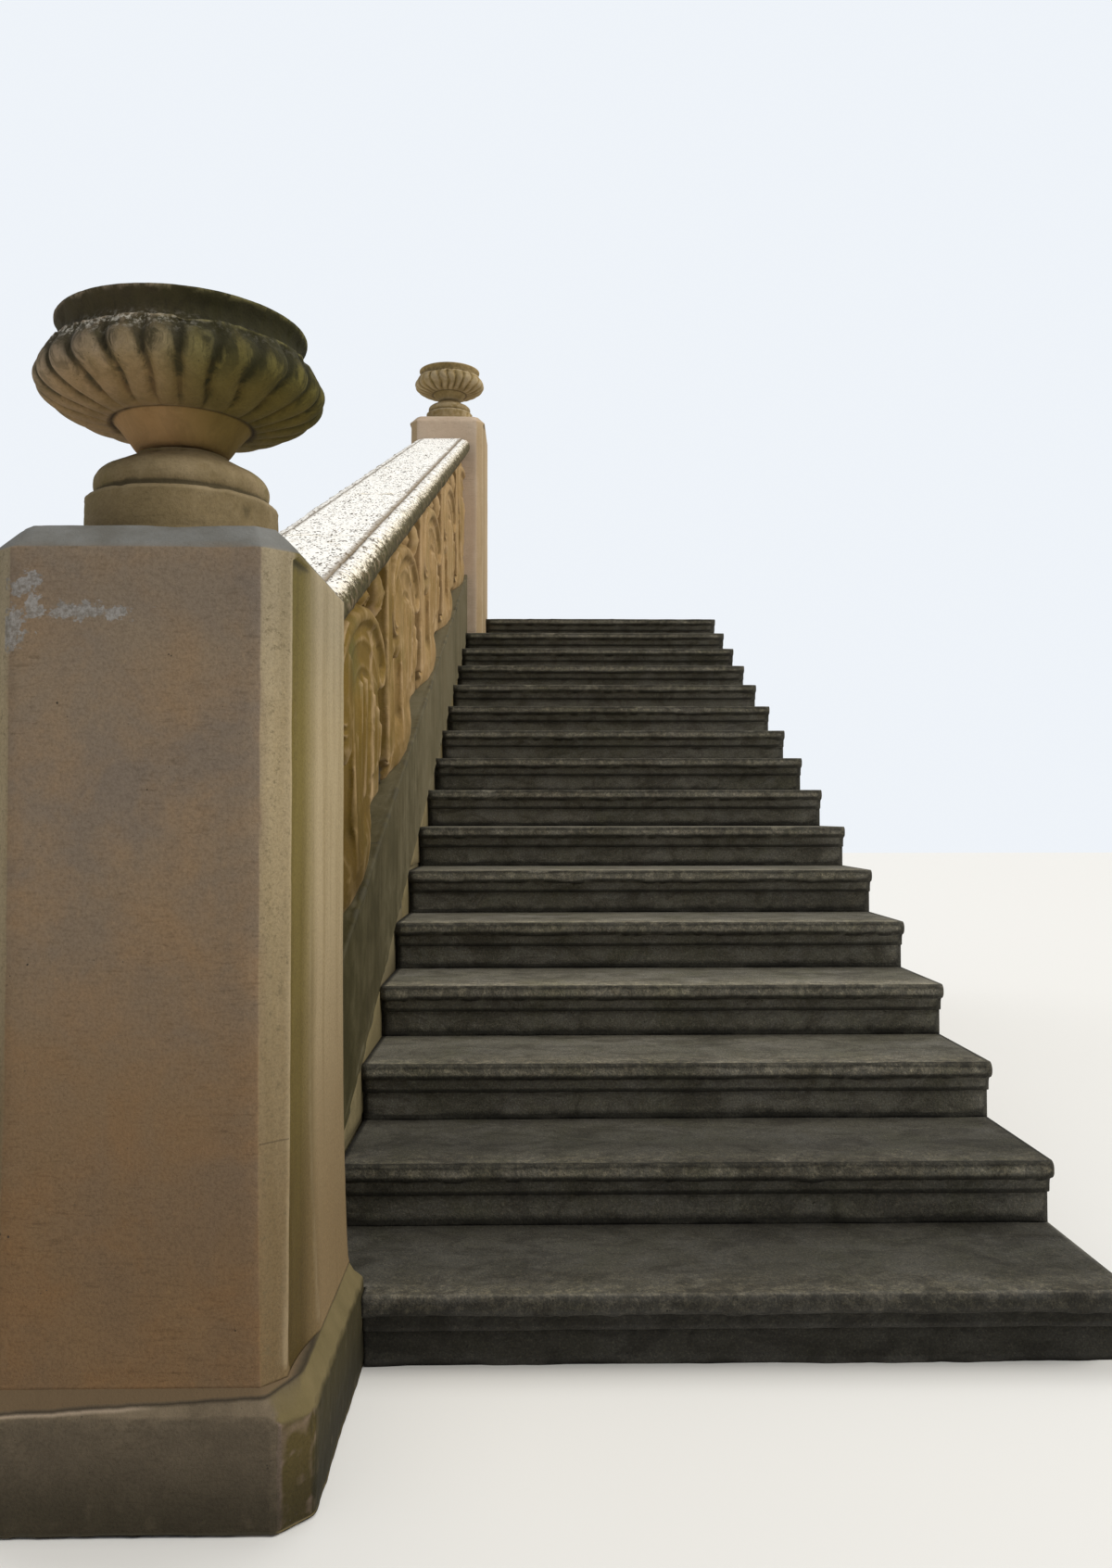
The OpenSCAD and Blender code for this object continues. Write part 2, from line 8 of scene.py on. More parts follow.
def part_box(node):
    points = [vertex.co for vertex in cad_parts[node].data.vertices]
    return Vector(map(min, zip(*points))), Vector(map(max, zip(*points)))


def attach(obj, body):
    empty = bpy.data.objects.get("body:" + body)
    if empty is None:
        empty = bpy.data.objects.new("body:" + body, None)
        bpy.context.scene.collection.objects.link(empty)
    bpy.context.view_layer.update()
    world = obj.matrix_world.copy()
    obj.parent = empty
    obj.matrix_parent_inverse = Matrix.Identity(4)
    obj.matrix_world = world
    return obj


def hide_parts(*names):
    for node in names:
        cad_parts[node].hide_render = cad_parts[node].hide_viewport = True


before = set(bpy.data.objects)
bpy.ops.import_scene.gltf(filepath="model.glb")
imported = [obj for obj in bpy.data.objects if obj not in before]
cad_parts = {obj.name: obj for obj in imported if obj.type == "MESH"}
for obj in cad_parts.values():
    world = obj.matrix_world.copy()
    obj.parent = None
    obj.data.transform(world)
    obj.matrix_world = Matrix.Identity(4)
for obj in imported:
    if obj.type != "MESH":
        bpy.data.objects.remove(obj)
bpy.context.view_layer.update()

# Sizes read from the frame, in metres
RAKE = math.radians(21)
SLOPE = math.tan(RAKE)
BAYS = 5
STEPS = 16
DIE_LOW, DIE_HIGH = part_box("lower_die")
PLINTH_LOW, PLINTH_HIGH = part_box("lower_plinth")
UPPER_LOW, UPPER_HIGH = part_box("upper_die")
STRING_LOW, STRING_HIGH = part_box("string_1")
MIDDLE = (STRING_HIGH.x + STRING_LOW.x) / 2

# Sizes of the mouldings, the same as in the solids
CHAMFER = 0.05
BEVEL = 0.042
PLINTH_WEATHERING = 0.034
FLARE = 0.01
HOLLOW_HALF = 0.1
HOLLOW_DEPTH = 0.01
URN_HEIGHT = 0.365
URN_BOWL = 0.234
URN_RIM = 0.203
URN_LIP = 0.026
URN_NECK = 0.076
URN_DRUM = 0.159
URN_FOOT = 0.146
URN_DEPTH = 0.12
LOBE_DEPTH = 0.014
LOBES = 24
RAIL_ROLL = 0.042
RAIL_FLAT = 0.118
NOSING_ROLL = 0.038
NOSING_HOLLOW = 0.03
NOSING_FILLET = 0.012
NOSING_OUT = 0.038
COURSE = 0.28
GAP = 0.005
RECESS = 0.006

# Fineness of the carved panels: voxels in metres, and the share of their faces that is kept
VOXEL = 0.0062
KEPT_FACES = 0.34

# The camera: metres, then yaw, pitch and roll in degrees, and millimetres
CAMERA_PLACE = (0.592, -1.998, 1.023)
CAMERA_TURN = (0.906, 1.483, -0.047)
CAMERA_LENS = 38.74


# Noise made with numpy, the same at each run
def lattice(ix, iy, iz, seed):
    n = ix * 374761393 + iy * 668265263 + iz * 2147483647 + seed * 1274126177
    n = (n ^ (n >> 13)) * 1274126177
    n = n ^ (n >> 16)
    return (n & 0xFFFFFF).astype(np.float64) / 0x7FFFFF - 1.0


def value_noise(p, scale, seed=0):
    q = np.asarray(p, float) * scale
    i = np.floor(q).astype(np.int64)
    f = q - i
    f = f * f * f * (f * (f * 6 - 15) + 10)
    total = np.zeros(len(q))
    for dx in (0, 1):
        wx = f[:, 0] if dx else 1 - f[:, 0]
        for dy in (0, 1):
            wy = f[:, 1] if dy else 1 - f[:, 1]
            for dz in (0, 1):
                wz = f[:, 2] if dz else 1 - f[:, 2]
                total += wx * wy * wz * lattice(i[:, 0] + dx, i[:, 1] + dy, i[:, 2] + dz, seed)
    return total


def fbm(p, scale, octaves=3, seed=0):
    total, weight, norm = 0.0, 1.0, 0.0
    for k in range(octaves):
        total = total + weight * value_noise(p, scale * 2.03 ** k, seed + 17 * k)
        norm += weight
        weight *= 0.5
    return total / norm


def clamp(values):
    """Values held between 0 and 1."""
    return np.clip(values, 0, 1)


def peak(away, width):
    """1 where the distance is 0, fading to 0 either way."""
    return np.exp(-(away / width) ** 2)


# Mesh helpers
def new_object(name, data):
    """A new object in the scene."""
    obj = bpy.data.objects.new(name, data)
    bpy.context.scene.collection.objects.link(obj)
    return obj


def build_object(name, verts, faces, smooth=True):
    mesh = bpy.data.meshes.new(name)
    mesh.from_pydata([tuple(v) for v in verts], [], [tuple(int(i) for i in f) for f in faces])
    mesh.update()
    mesh.polygons.foreach_set("use_smooth", [smooth] * len(mesh.polygons))
    return new_object(name, mesh)


def points_of(obj):
    co = np.zeros(len(obj.data.vertices) * 3)
    obj.data.vertices.foreach_get("co", co)
    return co.reshape(-1, 3)


def set_points(obj, co):
    obj.data.vertices.foreach_set("co", np.asarray(co, np.float32).ravel())
    obj.data.update()


def normals_of(obj):
    no = np.zeros(len(obj.data.vertices) * 3)
    obj.data.vertex_normals.foreach_get("vector", no)
    return no.reshape(-1, 3)


def edges_of(obj):
    e = np.zeros(len(obj.data.edges) * 2, np.int64)
    obj.data.edges.foreach_get("vertices", e)
    return e.reshape(-1, 2)


def neighbour_mean(values, edges, count):
    degree = np.bincount(edges.ravel(), minlength=count).astype(float)
    degree[degree == 0] = 1
    out = np.empty_like(values)
    for k in range(values.shape[1]):
        a = np.bincount(edges[:, 0], weights=values[edges[:, 1], k], minlength=count)
        b = np.bincount(edges[:, 1], weights=values[edges[:, 0], k], minlength=count)
        out[:, k] = (a + b) / degree
    return out


def relaxed(co, edges, times):
    for _ in range(times):
        co = co + 0.5 * (neighbour_mean(co, edges, len(co)) - co)
    return co


def add_attribute(obj, name, values):
    attribute = obj.data.attributes.get(name) or obj.data.attributes.new(name, "FLOAT", "POINT")
    attribute.data.foreach_set("value", np.asarray(values, np.float32))


def values_of(obj, name):
    values = np.zeros(len(obj.data.vertices))
    obj.data.attributes[name].data.foreach_get("value", values)
    return values


def mark_relief(obj, times=12, size=0.004, joint=None):
    """Stores how hollow or proud the surface is at each point: above 0 in hollows, below 0 on crests.
    At the level of a close joint it stays 0."""
    co, edges, no = points_of(obj), edges_of(obj), normals_of(obj)
    away = np.clip(np.sum((relaxed(co, edges, times) - co) * no, 1) / size, -1, 1)
    if joint is not None:
        away = away * clamp(np.abs(co[:, 2] - joint) / 0.02 - 0.3)
    add_attribute(obj, "hollow", away)


def tube_faces(rows, columns):
    """Quads round a tube of closed rings, row after row, with a cap on both ends."""
    faces = []
    for i in range(rows - 1):
        for j in range(columns):
            k = (j + 1) % columns
            faces.append((i * columns + j, i * columns + k, (i + 1) * columns + k, (i + 1) * columns + j))
    faces.append(tuple(range(columns))[::-1])
    faces.append(tuple(range((rows - 1) * columns, rows * columns)))
    return faces


def tube(name, rings):
    """An object from closed rings of points, one after the other."""
    return build_object(name, np.concatenate(rings), tube_faces(len(rings), len(rings[0])))


def square(a, b, low, high):
    """The corners of an upright rectangle from a to b along the flight."""
    return [(a, low), (b, low), (b, high), (a, high)]


def face_outwards(mesh):
    bm = bmesh.new()
    bm.from_mesh(mesh)
    bmesh.ops.recalc_face_normals(bm, faces=bm.faces)
    bm.to_mesh(mesh)
    bm.free()


def modified_mesh(obj):
    """The mesh that an object has after its modifiers."""
    return bpy.data.meshes.new_from_object(obj.evaluated_get(bpy.context.evaluated_depsgraph_get()))


def finish_piece(obj, node, material):
    obj.data.materials.clear()
    obj.data.materials.append(material)
    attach(obj, "root")
    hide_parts(node)
    return obj


# Node helpers for the materials
class Nodes:
    """Builds the node tree of one material. Its methods give the output of a new node."""

    def __init__(self, name):
        self.material = bpy.data.materials.new(name)
        self.material.use_nodes = True
        self.tree = self.material.node_tree
        self.tree.nodes.clear()
        self.shader = self.node("BsdfPrincipled")
        self.feed(self.node("OutputMaterial").inputs[0], self.shader.outputs[0])
        self.coords = self.node("TexCoord").outputs["Object"]

    def feed(self, socket, value):
        """Gives an input a number, a tuple or the output of another node."""
        if isinstance(value, (int, float)):
            socket.default_value = value
        elif isinstance(value, tuple):
            socket.default_value = (*value, 1.0) if socket.type == "RGBA" else value
        else:
            self.tree.links.new(value, socket)

    def node(self, kind, *values, **named):
        node = self.tree.nodes.new("ShaderNode" + kind)
        for key, value in [*enumerate(values), *named.items()]:
            self.feed(node.inputs[key], value)
        return node

    def scaled(self, factors):
        return self.node("Mapping", Vector=self.coords, Scale=factors).outputs[0]

    def noise(self, scale, detail=3.0, rough=0.5, distortion=0.0, vector=None):
        return self.node("TexNoise", Vector=vector or self.coords, Scale=scale, Detail=detail,
                         Roughness=rough,
                         Distortion=distortion).outputs["Fac"]

    def cells(self, scale, vector=None):
        """Distance from the middle of the nearest cell."""
        return self.node("TexVoronoi", Vector=vector or self.coords, Scale=scale).outputs["Distance"]

    def ramp(self, value, *stops, smooth=False):
        """Stops are pairs of a place and a share."""
        node = self.node("ValToRGB", value)
        node.color_ramp.interpolation = "EASE" if smooth else "LINEAR"
        items = node.color_ramp.elements
        while len(items) < len(stops):
            items.new(0.5)
        for item, (level, share) in zip(items, stops):
            item.position = level
            item.color = (share, share, share, 1)
        return node.outputs[0]

    def rise(self, value, low, high, share=1.0):
        """0 up to the low place and the share from the high one on."""
        return self.ramp(value, (low, 0.0), (high, share))

    def fall(self, value, low, high, share=1.0):
        """The share up to the low place and 0 from the high one on."""
        return self.ramp(value, (low, share), (high, 0.0))

    def math(self, kind, a, b=0.0):
        node = self.node("Math", a, b)
        node.operation = kind
        return node.outputs[0]

    def times(self, a, b):
        return self.math("MULTIPLY", a, b)

    def plus(self, a, b):
        return self.math("ADD", a, b)

    def minus(self, a, b):
        return self.math("SUBTRACT", a, b)

    def over(self, a, b):
        return self.math("DIVIDE", a, b)

    def sway(self, noise, size):
        """A noise that swings about 0, by half the size each way."""
        return self.times(self.minus(noise, 0.5), size)

    def sideways(self):
        """1 on faces that look left or right, 0 on those that look along the flight or up."""
        return self.math("ABSOLUTE", self.facing("X"))

    def tint(self, share, color, tone):
        """The colour multiplied by a tone, by a share."""
        return self.mix(share, color, self.mix(1.0, color, tone, "MULTIPLY"))

    def mix(self, share, a, b, kind="MIX"):
        node = self.node("Mix")
        node.data_type = "RGBA"
        node.blend_type = kind
        for key, value in ((0, share), (6, a), (7, b)):
            self.feed(node.inputs[key], value)
        return node.outputs[2]

    def attribute(self, name):
        node = self.node("Attribute")
        node.attribute_name = name
        return node.outputs["Fac"]

    def axis(self, letter):
        return self.node("SeparateXYZ", self.coords).outputs["XYZ".index(letter)]

    def facing(self, letter):
        normal = self.node("NewGeometry").outputs["Normal"]
        return self.node("SeparateXYZ", normal).outputs["XYZ".index(letter)]

    def gap(self, centre, factors=(1, 1, 1)):
        """Distance from a place, each axis multiplied by its factor first."""
        node = self.node("VectorMath", self.scaled(factors), tuple(p * f for p, f in zip(centre, factors)))
        node.operation = "DISTANCE"
        return node.outputs["Value"]

    def bump(self, height, strength, distance):
        return self.node("Bump", Strength=strength, Distance=distance, Height=height).outputs[0]

    def close(self, color, rough, normal=None):
        """Sends the colour, roughness and bump to the shader and gives the material."""
        self.feed(self.shader.inputs["Base Color"], color)
        self.feed(self.shader.inputs["Roughness"], rough)
        self.shader.inputs["Specular IOR Level"].default_value = 0.25
        if normal is not None:
            self.feed(self.shader.inputs["Normal"], normal)
        return self.material


def shade(tone, factor):
    return tuple(c * factor for c in tone)


def weathered(name, tones, flank=None, low=None, soot=None, hollow=((0.05, 0.045, 0.03), 0.6),
              crest=((0.5, 0.42, 0.3), 0.35), growth=None, damp=None, grain=0.6, pits=0.5, holes=0.0,
              strokes=0.5, bump=1.0, marks=None):
    """A weathered limestone. Each option is a (tone, share) pair or a share: flank tones on the faces
    that look sideways, a low tone near the ground, soot from an attribute, hollows darkened by dirt and by
    painted shade, crests paled by wear and by a painted highlight, growth in patches, damp ends."""
    n = Nodes(name)
    cloud = n.noise(2.1, 5, 0.6, 0.5)
    patch = n.noise(8.0, 5, 0.65, 0.3)
    fine = n.noise(230, 3, 0.75)
    speck = n.noise(85, 3, 0.65)
    color = n.mix(n.rise(cloud, 0.38, 0.62), tones[0], tones[1])
    color = n.mix(n.rise(patch, 0.44, 0.7, 0.8), color, tones[2])
    if flank is not None:
        side = n.sideways()
        sides = n.mix(n.rise(cloud, 0.38, 0.62), flank[0], flank[1])
        sides = n.mix(n.attribute("band"), sides, flank[2])
        color = n.mix(n.rise(side, 0.35, 0.65), color, sides)
    if low is not None:
        height, tone = low[:2]
        climb = n.over(n.axis("Z"), height)
        climb = n.plus(climb, n.sway(cloud, 0.6))
        if len(low) > 2:
            tone = n.mix(n.rise(n.sideways(), 0.35, 0.65), tone, low[2])
        color = n.tint(n.ramp(climb, (0.2, 1.0), (1.0, 0.0), smooth=True), color, tone)
    if soot is not None:
        dirt = n.plus(n.attribute("soot"), n.sway(patch, 0.9))
        color = n.mix(n.rise(dirt, 0.15, 0.75), color, soot)
    across = n.noise(1.0, 5, 0.72, 0.3, n.scaled((26, 26, 170)))
    down = n.noise(1.0, 4, 0.6, 0.2, n.scaled((22, 22, 1.3)))
    rubbed = n.ramp(n.noise(4.3, 4, 0.65, 0.4), (0.42, 0.1), (0.62, 1.0))
    sideways = n.sideways()
    rubbed = n.times(rubbed, n.ramp(sideways, (0.5, 1.0), (0.8, 0.2)))
    scratch = n.times(n.fall(across, 0.35, 0.48, 0.95 * strokes), rubbed)
    color = n.tint(scratch, color, (0.55, 0.52, 0.48))
    streaks = n.times(n.rise(down, 0.46, 0.66, 1.1 * strokes), sideways)
    color = n.tint(streaks, color, (0.72, 0.69, 0.6))
    color = n.tint(n.fall(fine, 0.32, 0.58, 0.55 * grain), color, (0.45, 0.42, 0.38))
    color = n.tint(n.rise(speck, 0.56, 0.72, 0.3 * grain), color, (1.45, 1.4, 1.3))
    if growth is not None:
        tone, share = growth
        spread = n.noise(5.0, 5, 0.7, 0.5)
        color = n.mix(n.rise(spread, 0.5, 0.66, share), color, tone)
    if damp is not None:
        tone, reach, start = damp
        near = n.over(n.axis("Y"), reach)
        near = n.plus(near, n.sway(patch, 0.7))
        color = n.tint(n.fall(near, start, 1.0), color, tone)
    # Hollows darken: dirt, and painted shade where shade falls in them.
    relief = n.attribute("hollow")
    color = n.mix(n.rise(relief, 0.08, 0.6, hollow[1]), color, hollow[0])
    # Proud crests pale: wear, and a painted highlight along the edges.
    proud = n.rise(n.times(relief, -1.0), 0.1, 0.6, crest[1])
    color = n.mix(n.times(proud, n.ramp(patch, (0.35, 0.3), (0.6, 1.0))), color, crest[0])
    sizes = n.noise(40, 2, 0.5)
    pit = n.math("LESS_THAN", n.cells(130), n.rise(sizes, 0.5, 0.75, 0.5 * pits))
    color = n.mix(n.times(pit, 0.7), color, shade(tones[1], 0.3))
    height = n.plus(n.times(fine, 0.6), n.times(speck, 0.5))
    height = n.minus(height, n.times(pit, 0.8))
    if holes:
        rare = n.rise(n.noise(9, 2, 0.5), 0.58, 0.74, 0.17 * holes)
        torn = n.plus(n.cells(58), n.sway(fine, 0.25))
        hole = n.times(n.math("LESS_THAN", torn, rare), n.math("LESS_THAN", n.facing("Y"), -0.9))
        color = n.mix(n.times(hole, 0.85), color, shade(tones[1], 0.15))
        height = n.minus(height, n.times(hole, 1.5))
    if marks is not None:
        color = marks(n, color)
    return n.close(color, 0.92, n.bump(height, 0.45 * bump, 0.004))


def die_marks(n, color):
    """The spalled patch near the top of the front, and a hair crack across the right chamfer. Painted shade
    darkens the top of the die, and a painted reflection of the sky greys the faces that look up.
    """
    away = 9.0
    for x, z, wide, high in ((-0.16, 1.364, 0.03, 0.017), (-0.085, 1.322, 0.075, 0.012),
                             (-0.185, 1.3, 0.03, 0.032),
                             (-0.15, 1.335, 0.02, 0.018)):
        away = n.math("MINIMUM", away, n.gap((x, 0, z), (1 / wide, 0, 1 / high)))
    crumbs = n.noise(42, 5, 0.7, 0.3)
    scar = n.plus(away, n.sway(crumbs, 5.0))
    scar = n.times(n.fall(scar, 0.75, 0.95, 0.75), n.math("LESS_THAN", n.axis("Y"), -0.225))
    color = n.mix(scar, color,
                  n.mix(n.rise(n.noise(130, 4, 0.8), 0.4, 0.6), (0.36, 0.345, 0.315), (0.19, 0.172, 0.145)))
    # Painted shade: darker and bluer towards the top of the die.
    top = n.rise(n.over(n.axis("Z"), 1.5), 0.78, 0.9)
    color = n.tint(top, color, (0.87, 0.9, 0.97))
    corner = n.ramp(n.sideways(), (0.45, 0.0), (0.6, 1.0), (0.78, 1.0), (0.9, 0.0))
    flecks = n.fall(n.noise(75, 4, 0.8), 0.34, 0.44, 0.6)
    color = n.mix(corner, color,
                  n.mix(flecks, n.mix(1.0, color, (0.86, 0.86, 0.88), "MULTIPLY"), (0.11, 0.085, 0.045)))
    # Painted reflection of the sky: faces that look up turn grey.
    sky = n.rise(n.noise(14, 4, 0.65), 0.35, 0.65)
    color = n.mix(n.rise(n.facing("Z"), 0.35, 0.65), color,
                  n.mix(sky, (0.19, 0.19, 0.18), (0.14, 0.135, 0.12)))
    wander = n.sway(n.noise(30, 3, 0.6), 0.006)
    off = n.math("ABSOLUTE", n.minus(n.plus(n.axis("Z"), wander), 0.542))
    there = n.times(n.math("GREATER_THAN", n.axis("X"), 0.186), n.math("LESS_THAN", n.axis("Y"), -0.196))
    crack = n.times(n.fall(n.times(off, 400.0), 0.2, 0.7), there)
    return n.mix(n.times(crack, 0.55), color, (0.06, 0.042, 0.024))


def plinth_marks(n, color):
    """The die's own tone above a crack that runs along the front, and a brown spall at the right corner."""
    wander = n.sway(n.noise(11, 4, 0.6), 0.007)
    rise = n.plus(n.times(n.axis("X"), 0.043), 0.1775)
    turned = n.times(n.math("MAXIMUM", n.minus(n.axis("X"), 0.2), 0.0), 0.25)
    off = n.minus(n.plus(n.axis("Z"), wander), n.plus(rise, turned))
    above = n.rise(n.times(off, 60.0), 0.0, 0.25)
    face = n.rise(n.sideways(), 0.35, 0.65)
    corner = n.ramp(n.sideways(), (0.4, 0.0), (0.6, 1.0), (0.8, 1.0), (0.95, 0.0))
    upright = n.fall(n.facing("Z"), 0.1, 0.35)
    color = n.tint(n.times(corner, upright), color, (2.7, 2.5, 3.5))
    color = n.mix(above, color, n.mix(face, (0.13, 0.088, 0.048), (0.088, 0.067, 0.026)))
    slope = n.times(n.rise(n.facing("Z"), 0.15, 0.4), n.rise(n.facing("X"), 0.3, 0.6))
    color = n.mix(slope, color, n.mix(n.noise(14, 4, 0.6), (0.075, 0.06, 0.022), (0.17, 0.13, 0.06)))
    pale = n.fall(n.math("ABSOLUTE", n.plus(off, 0.003)), 0.0014, 0.0022, 0.75)
    pale = n.times(pale, n.fall(n.axis("X"), 0.0, 0.05))
    color = n.mix(pale, color, (0.42, 0.33, 0.24))
    crack = n.fall(n.math("ABSOLUTE", off), 0.0007, 0.0016, 0.85)
    color = n.mix(crack, color, (0.025, 0.018, 0.011))
    rough = n.sway(n.noise(60, 4, 0.7), 0.022)
    torn = n.plus(n.gap((0.262, -0.225, 0.193)), rough)
    return n.mix(n.fall(torn, 0.012, 0.019, 0.85), color, (0.13, 0.075, 0.032))


def urn_marks(n, color):
    """Warm bare stone on the cup, and green growth on the side towards the steps. Painted light and shade:
    the left is lightened as if sunlit and the right darkened, the dark line where the lobes leave the cup
    is painted shade, and the pale crumbs on the brow, kept to the left, are partly a painted highlight.
    """
    bare = n.mix(n.noise(18, 4, 0.65), (0.165, 0.1, 0.037), (0.25, 0.165, 0.075))
    color = n.mix(n.attribute("cup"), color, bare)
    run = n.noise(1.0, 5, 0.7, 0.6, n.scaled((30, 30, 6)))
    stain = n.times(n.rise(run, 0.45, 0.56, 0.9), n.ramp(n.attribute("soot"), (0.0, 0.15), (0.4, 1.0)))
    color = n.mix(stain, color, (0.032, 0.027, 0.012))
    # Painted light and shade: lighter towards the left, as if sunlit; darker and greener towards the right,
    # painted shade with growth.
    color = n.mix(1.0, color, n.mix(n.rise(n.axis("X"), 0.0, 0.08), (1.46, 1.35, 1.31), (0.84, 0.86, 0.6)),
                  "MULTIPLY")
    right = n.rise(n.axis("X"), 0.0, 0.22)
    color = n.tint(right, color, (0.78, 0.8, 0.44))
    # Painted shade: a dark line in the valley where the lobes leave the cup.
    line = n.times(n.attribute("seam"), n.ramp(n.noise(25, 3, 0.6), (0.35, 0.45), (0.55, 0.95)))
    color = n.mix(line, color, (0.028, 0.019, 0.009))
    # Pale crumbs on the brow, only on the left: crumbling stone and a painted highlight.
    crumbs = n.rise(n.noise(95, 4, 0.75), 0.5, 0.62, 0.75)
    left = n.ramp(n.plus(n.axis("X"), 0.25), (0.2, 1.0), (0.34, 0.08))
    return n.mix(n.times(n.times(crumbs, n.attribute("brow")), left), color, (0.62, 0.58, 0.5))


def step_marks(n, color):
    """Painted shade: risers and treads are darkened apart by the way they face, and the lowest steps are
    the darkest, their treads darker than those higher up.
    """
    # Painted shade: risers and treads each get their own darkening along the flight.
    up = n.rise(n.facing("Z"), 0.6, 0.97)
    risers = n.ramp(n.axis("Y"), (0.28, 0.25), (0.5, 0.82), (1.0, 1.05))
    treads = n.ramp(n.over(n.axis("Y"), 2.0), (0.2, 0.37), (0.36, 0.34), (0.6, 0.85), (1.0, 0.88))
    color = n.mix(1.0, color, n.mix(up, risers, treads), "MULTIPLY")
    stain = n.noise(13, 5, 0.75, 0.8, n.scaled((0.6, 1, 1)))
    color = n.tint(n.rise(stain, 0.46, 0.6, 0.6), color, (0.42, 0.4, 0.38))
    grit = n.noise(190, 4, 0.8)
    color = n.tint(n.rise(grit, 0.5, 0.66, 0.65), color, (2.2, 2.1, 1.9))
    crust = n.times(n.rise(n.noise(48, 5, 0.8, 0.5), 0.46, 0.62, 0.75), n.attribute("nose"))
    color = n.tint(crust, color, (2.3, 2.22, 2.08))
    worn = n.times(n.attribute("nose"), up)
    color = n.tint(worn, color, (1.35, 1.33, 1.28))
    return n.mix(n.attribute("joint"), color, (0.008, 0.007, 0.005))


def border_marks(n, color):
    """Moss in the first arch, darker and greener low in the first bay from damp and painted shade, and
    at the foot of all panels a dark tone like the string's, damp and painted shade on the recessed ground."""
    moss = n.plus(n.gap((0.155, 0.88, 1.4), (1, 0.75, 1)), n.times(n.noise(22, 4, 0.7), 0.08))
    color = n.mix(n.fall(moss, 0.07, 0.15, 0.75), color, (0.095, 0.083, 0.02))
    # Damp and painted shade: darker and greener low in the first bay.
    foot = n.plus(n.gap((0.155, 0.86, 0.93), (0.3, 1, 1)), n.times(n.noise(18, 4, 0.7), 0.08))
    color = n.tint(n.fall(foot, 0.1, 0.3, 0.9), color, (0.72, 0.7, 0.54))
    # Damp and painted shade: the recessed ground at the foot of the panels gets a dark tone like the
    # string's.
    return n.mix(n.attribute("border"), color, (0.1, 0.083, 0.055))


def rail_material():
    """Granular cream stone with many small dark pits, lightened on top as painted sunlight; olive, streaked
    and darkened as painted shade on the underside of its rolls."""
    n = Nodes("rail_stone")
    up = n.facing("Z")
    grit = n.noise(120, 4, 0.8)
    cloud = n.noise(5, 4, 0.6)
    top = n.mix(n.rise(grit, 0.36, 0.5), (0.83, 0.785, 0.705), (0.955, 0.94, 0.905))
    top = n.mix(n.rise(cloud, 0.52, 0.78, 0.1), top, (0.86, 0.8, 0.7))
    grain = n.scaled((1, 0.42, 1))
    sizes = n.noise(30, 3, 0.65)
    pit = n.math("LESS_THAN", n.cells(112, vector=grain), n.ramp(sizes, (0.36, 0.15), (0.66, 0.46)))
    large = n.math("LESS_THAN", n.cells(56, vector=grain), n.rise(n.noise(14, 3, 0.6), 0.41, 0.72, 0.38))
    top = n.mix(n.times(pit, 0.9), top, (0.07, 0.052, 0.036))
    top = n.mix(n.times(large, 0.92), top, (0.045, 0.035, 0.025))
    seam = n.times(n.attribute("groove"), n.ramp(n.noise(17, 4, 0.7), (0.34, 0.4), (0.48, 1.0)))
    top = n.mix(seam, top, (0.045, 0.028, 0.014))
    top = n.tint(n.fall(up, 0.5, 0.9), top, (0.95, 0.85, 0.66))
    streak = n.noise(1.0, 4, 0.7, 0.0, n.scaled((60, 8, 60)))
    side = n.mix(n.rise(streak, 0.35, 0.65), (0.03, 0.024, 0.0065), (0.088, 0.074, 0.028))
    side = n.mix(n.times(pit, 0.6), side, (0.04, 0.034, 0.014))
    # Painted light and shade: faces that look up take the sunlit top tone, the others the shaded side tone.
    share = n.plus(up, n.sway(grit, 1.6))
    color = n.mix(n.rise(share, 0.46, 0.7), side, top)
    # Hollows tinted: dirt, and painted shade.
    color = n.mix(n.rise(n.attribute("hollow"), 0.2, 0.8, 0.7), color, (0.19, 0.14, 0.085))
    height = n.minus(n.times(grit, 1.0), n.plus(pit, large))
    return n.close(color, 0.95, n.bump(height, 0.45, 0.004))


def mason_material(name, tones, mortar, low_tone=(0.055, 0.052, 0.03)):
    """Walling: each stone has its own tone, and the joints between stones are filled with paler mortar."""
    n = Nodes(name)
    own = n.attribute("stone_tone")
    patch = n.noise(9, 5, 0.65, 0.2)
    fine = n.noise(150, 3, 0.7)
    streak = n.noise(1.0, 4, 0.6, 0.2, n.scaled((7, 7, 0.9)))
    color = n.mix(own, tones[0], tones[1])
    color = n.mix(n.rise(patch, 0.42, 0.7, 0.7), color, tones[2])
    color = n.mix(n.rise(streak, 0.5, 0.75, 0.4), color, shade(tones[1], 0.6))
    color = n.mix(n.fall(fine, 0.3, 0.6, 0.3), color, shade(tones[1], 0.5))
    color = n.mix(n.math("LESS_THAN", own, -0.5), color, n.mix(patch, mortar, shade(mortar, 0.6)))
    low = n.plus(n.over(n.axis("Z"), 0.5), n.sway(patch, 1.4))
    color = n.mix(n.fall(low, 0.0, 1.0, 0.75), color, low_tone)
    height = n.plus(n.times(fine, 0.5), patch)
    return n.close(color, 0.93, n.bump(height, 0.6, 0.005))


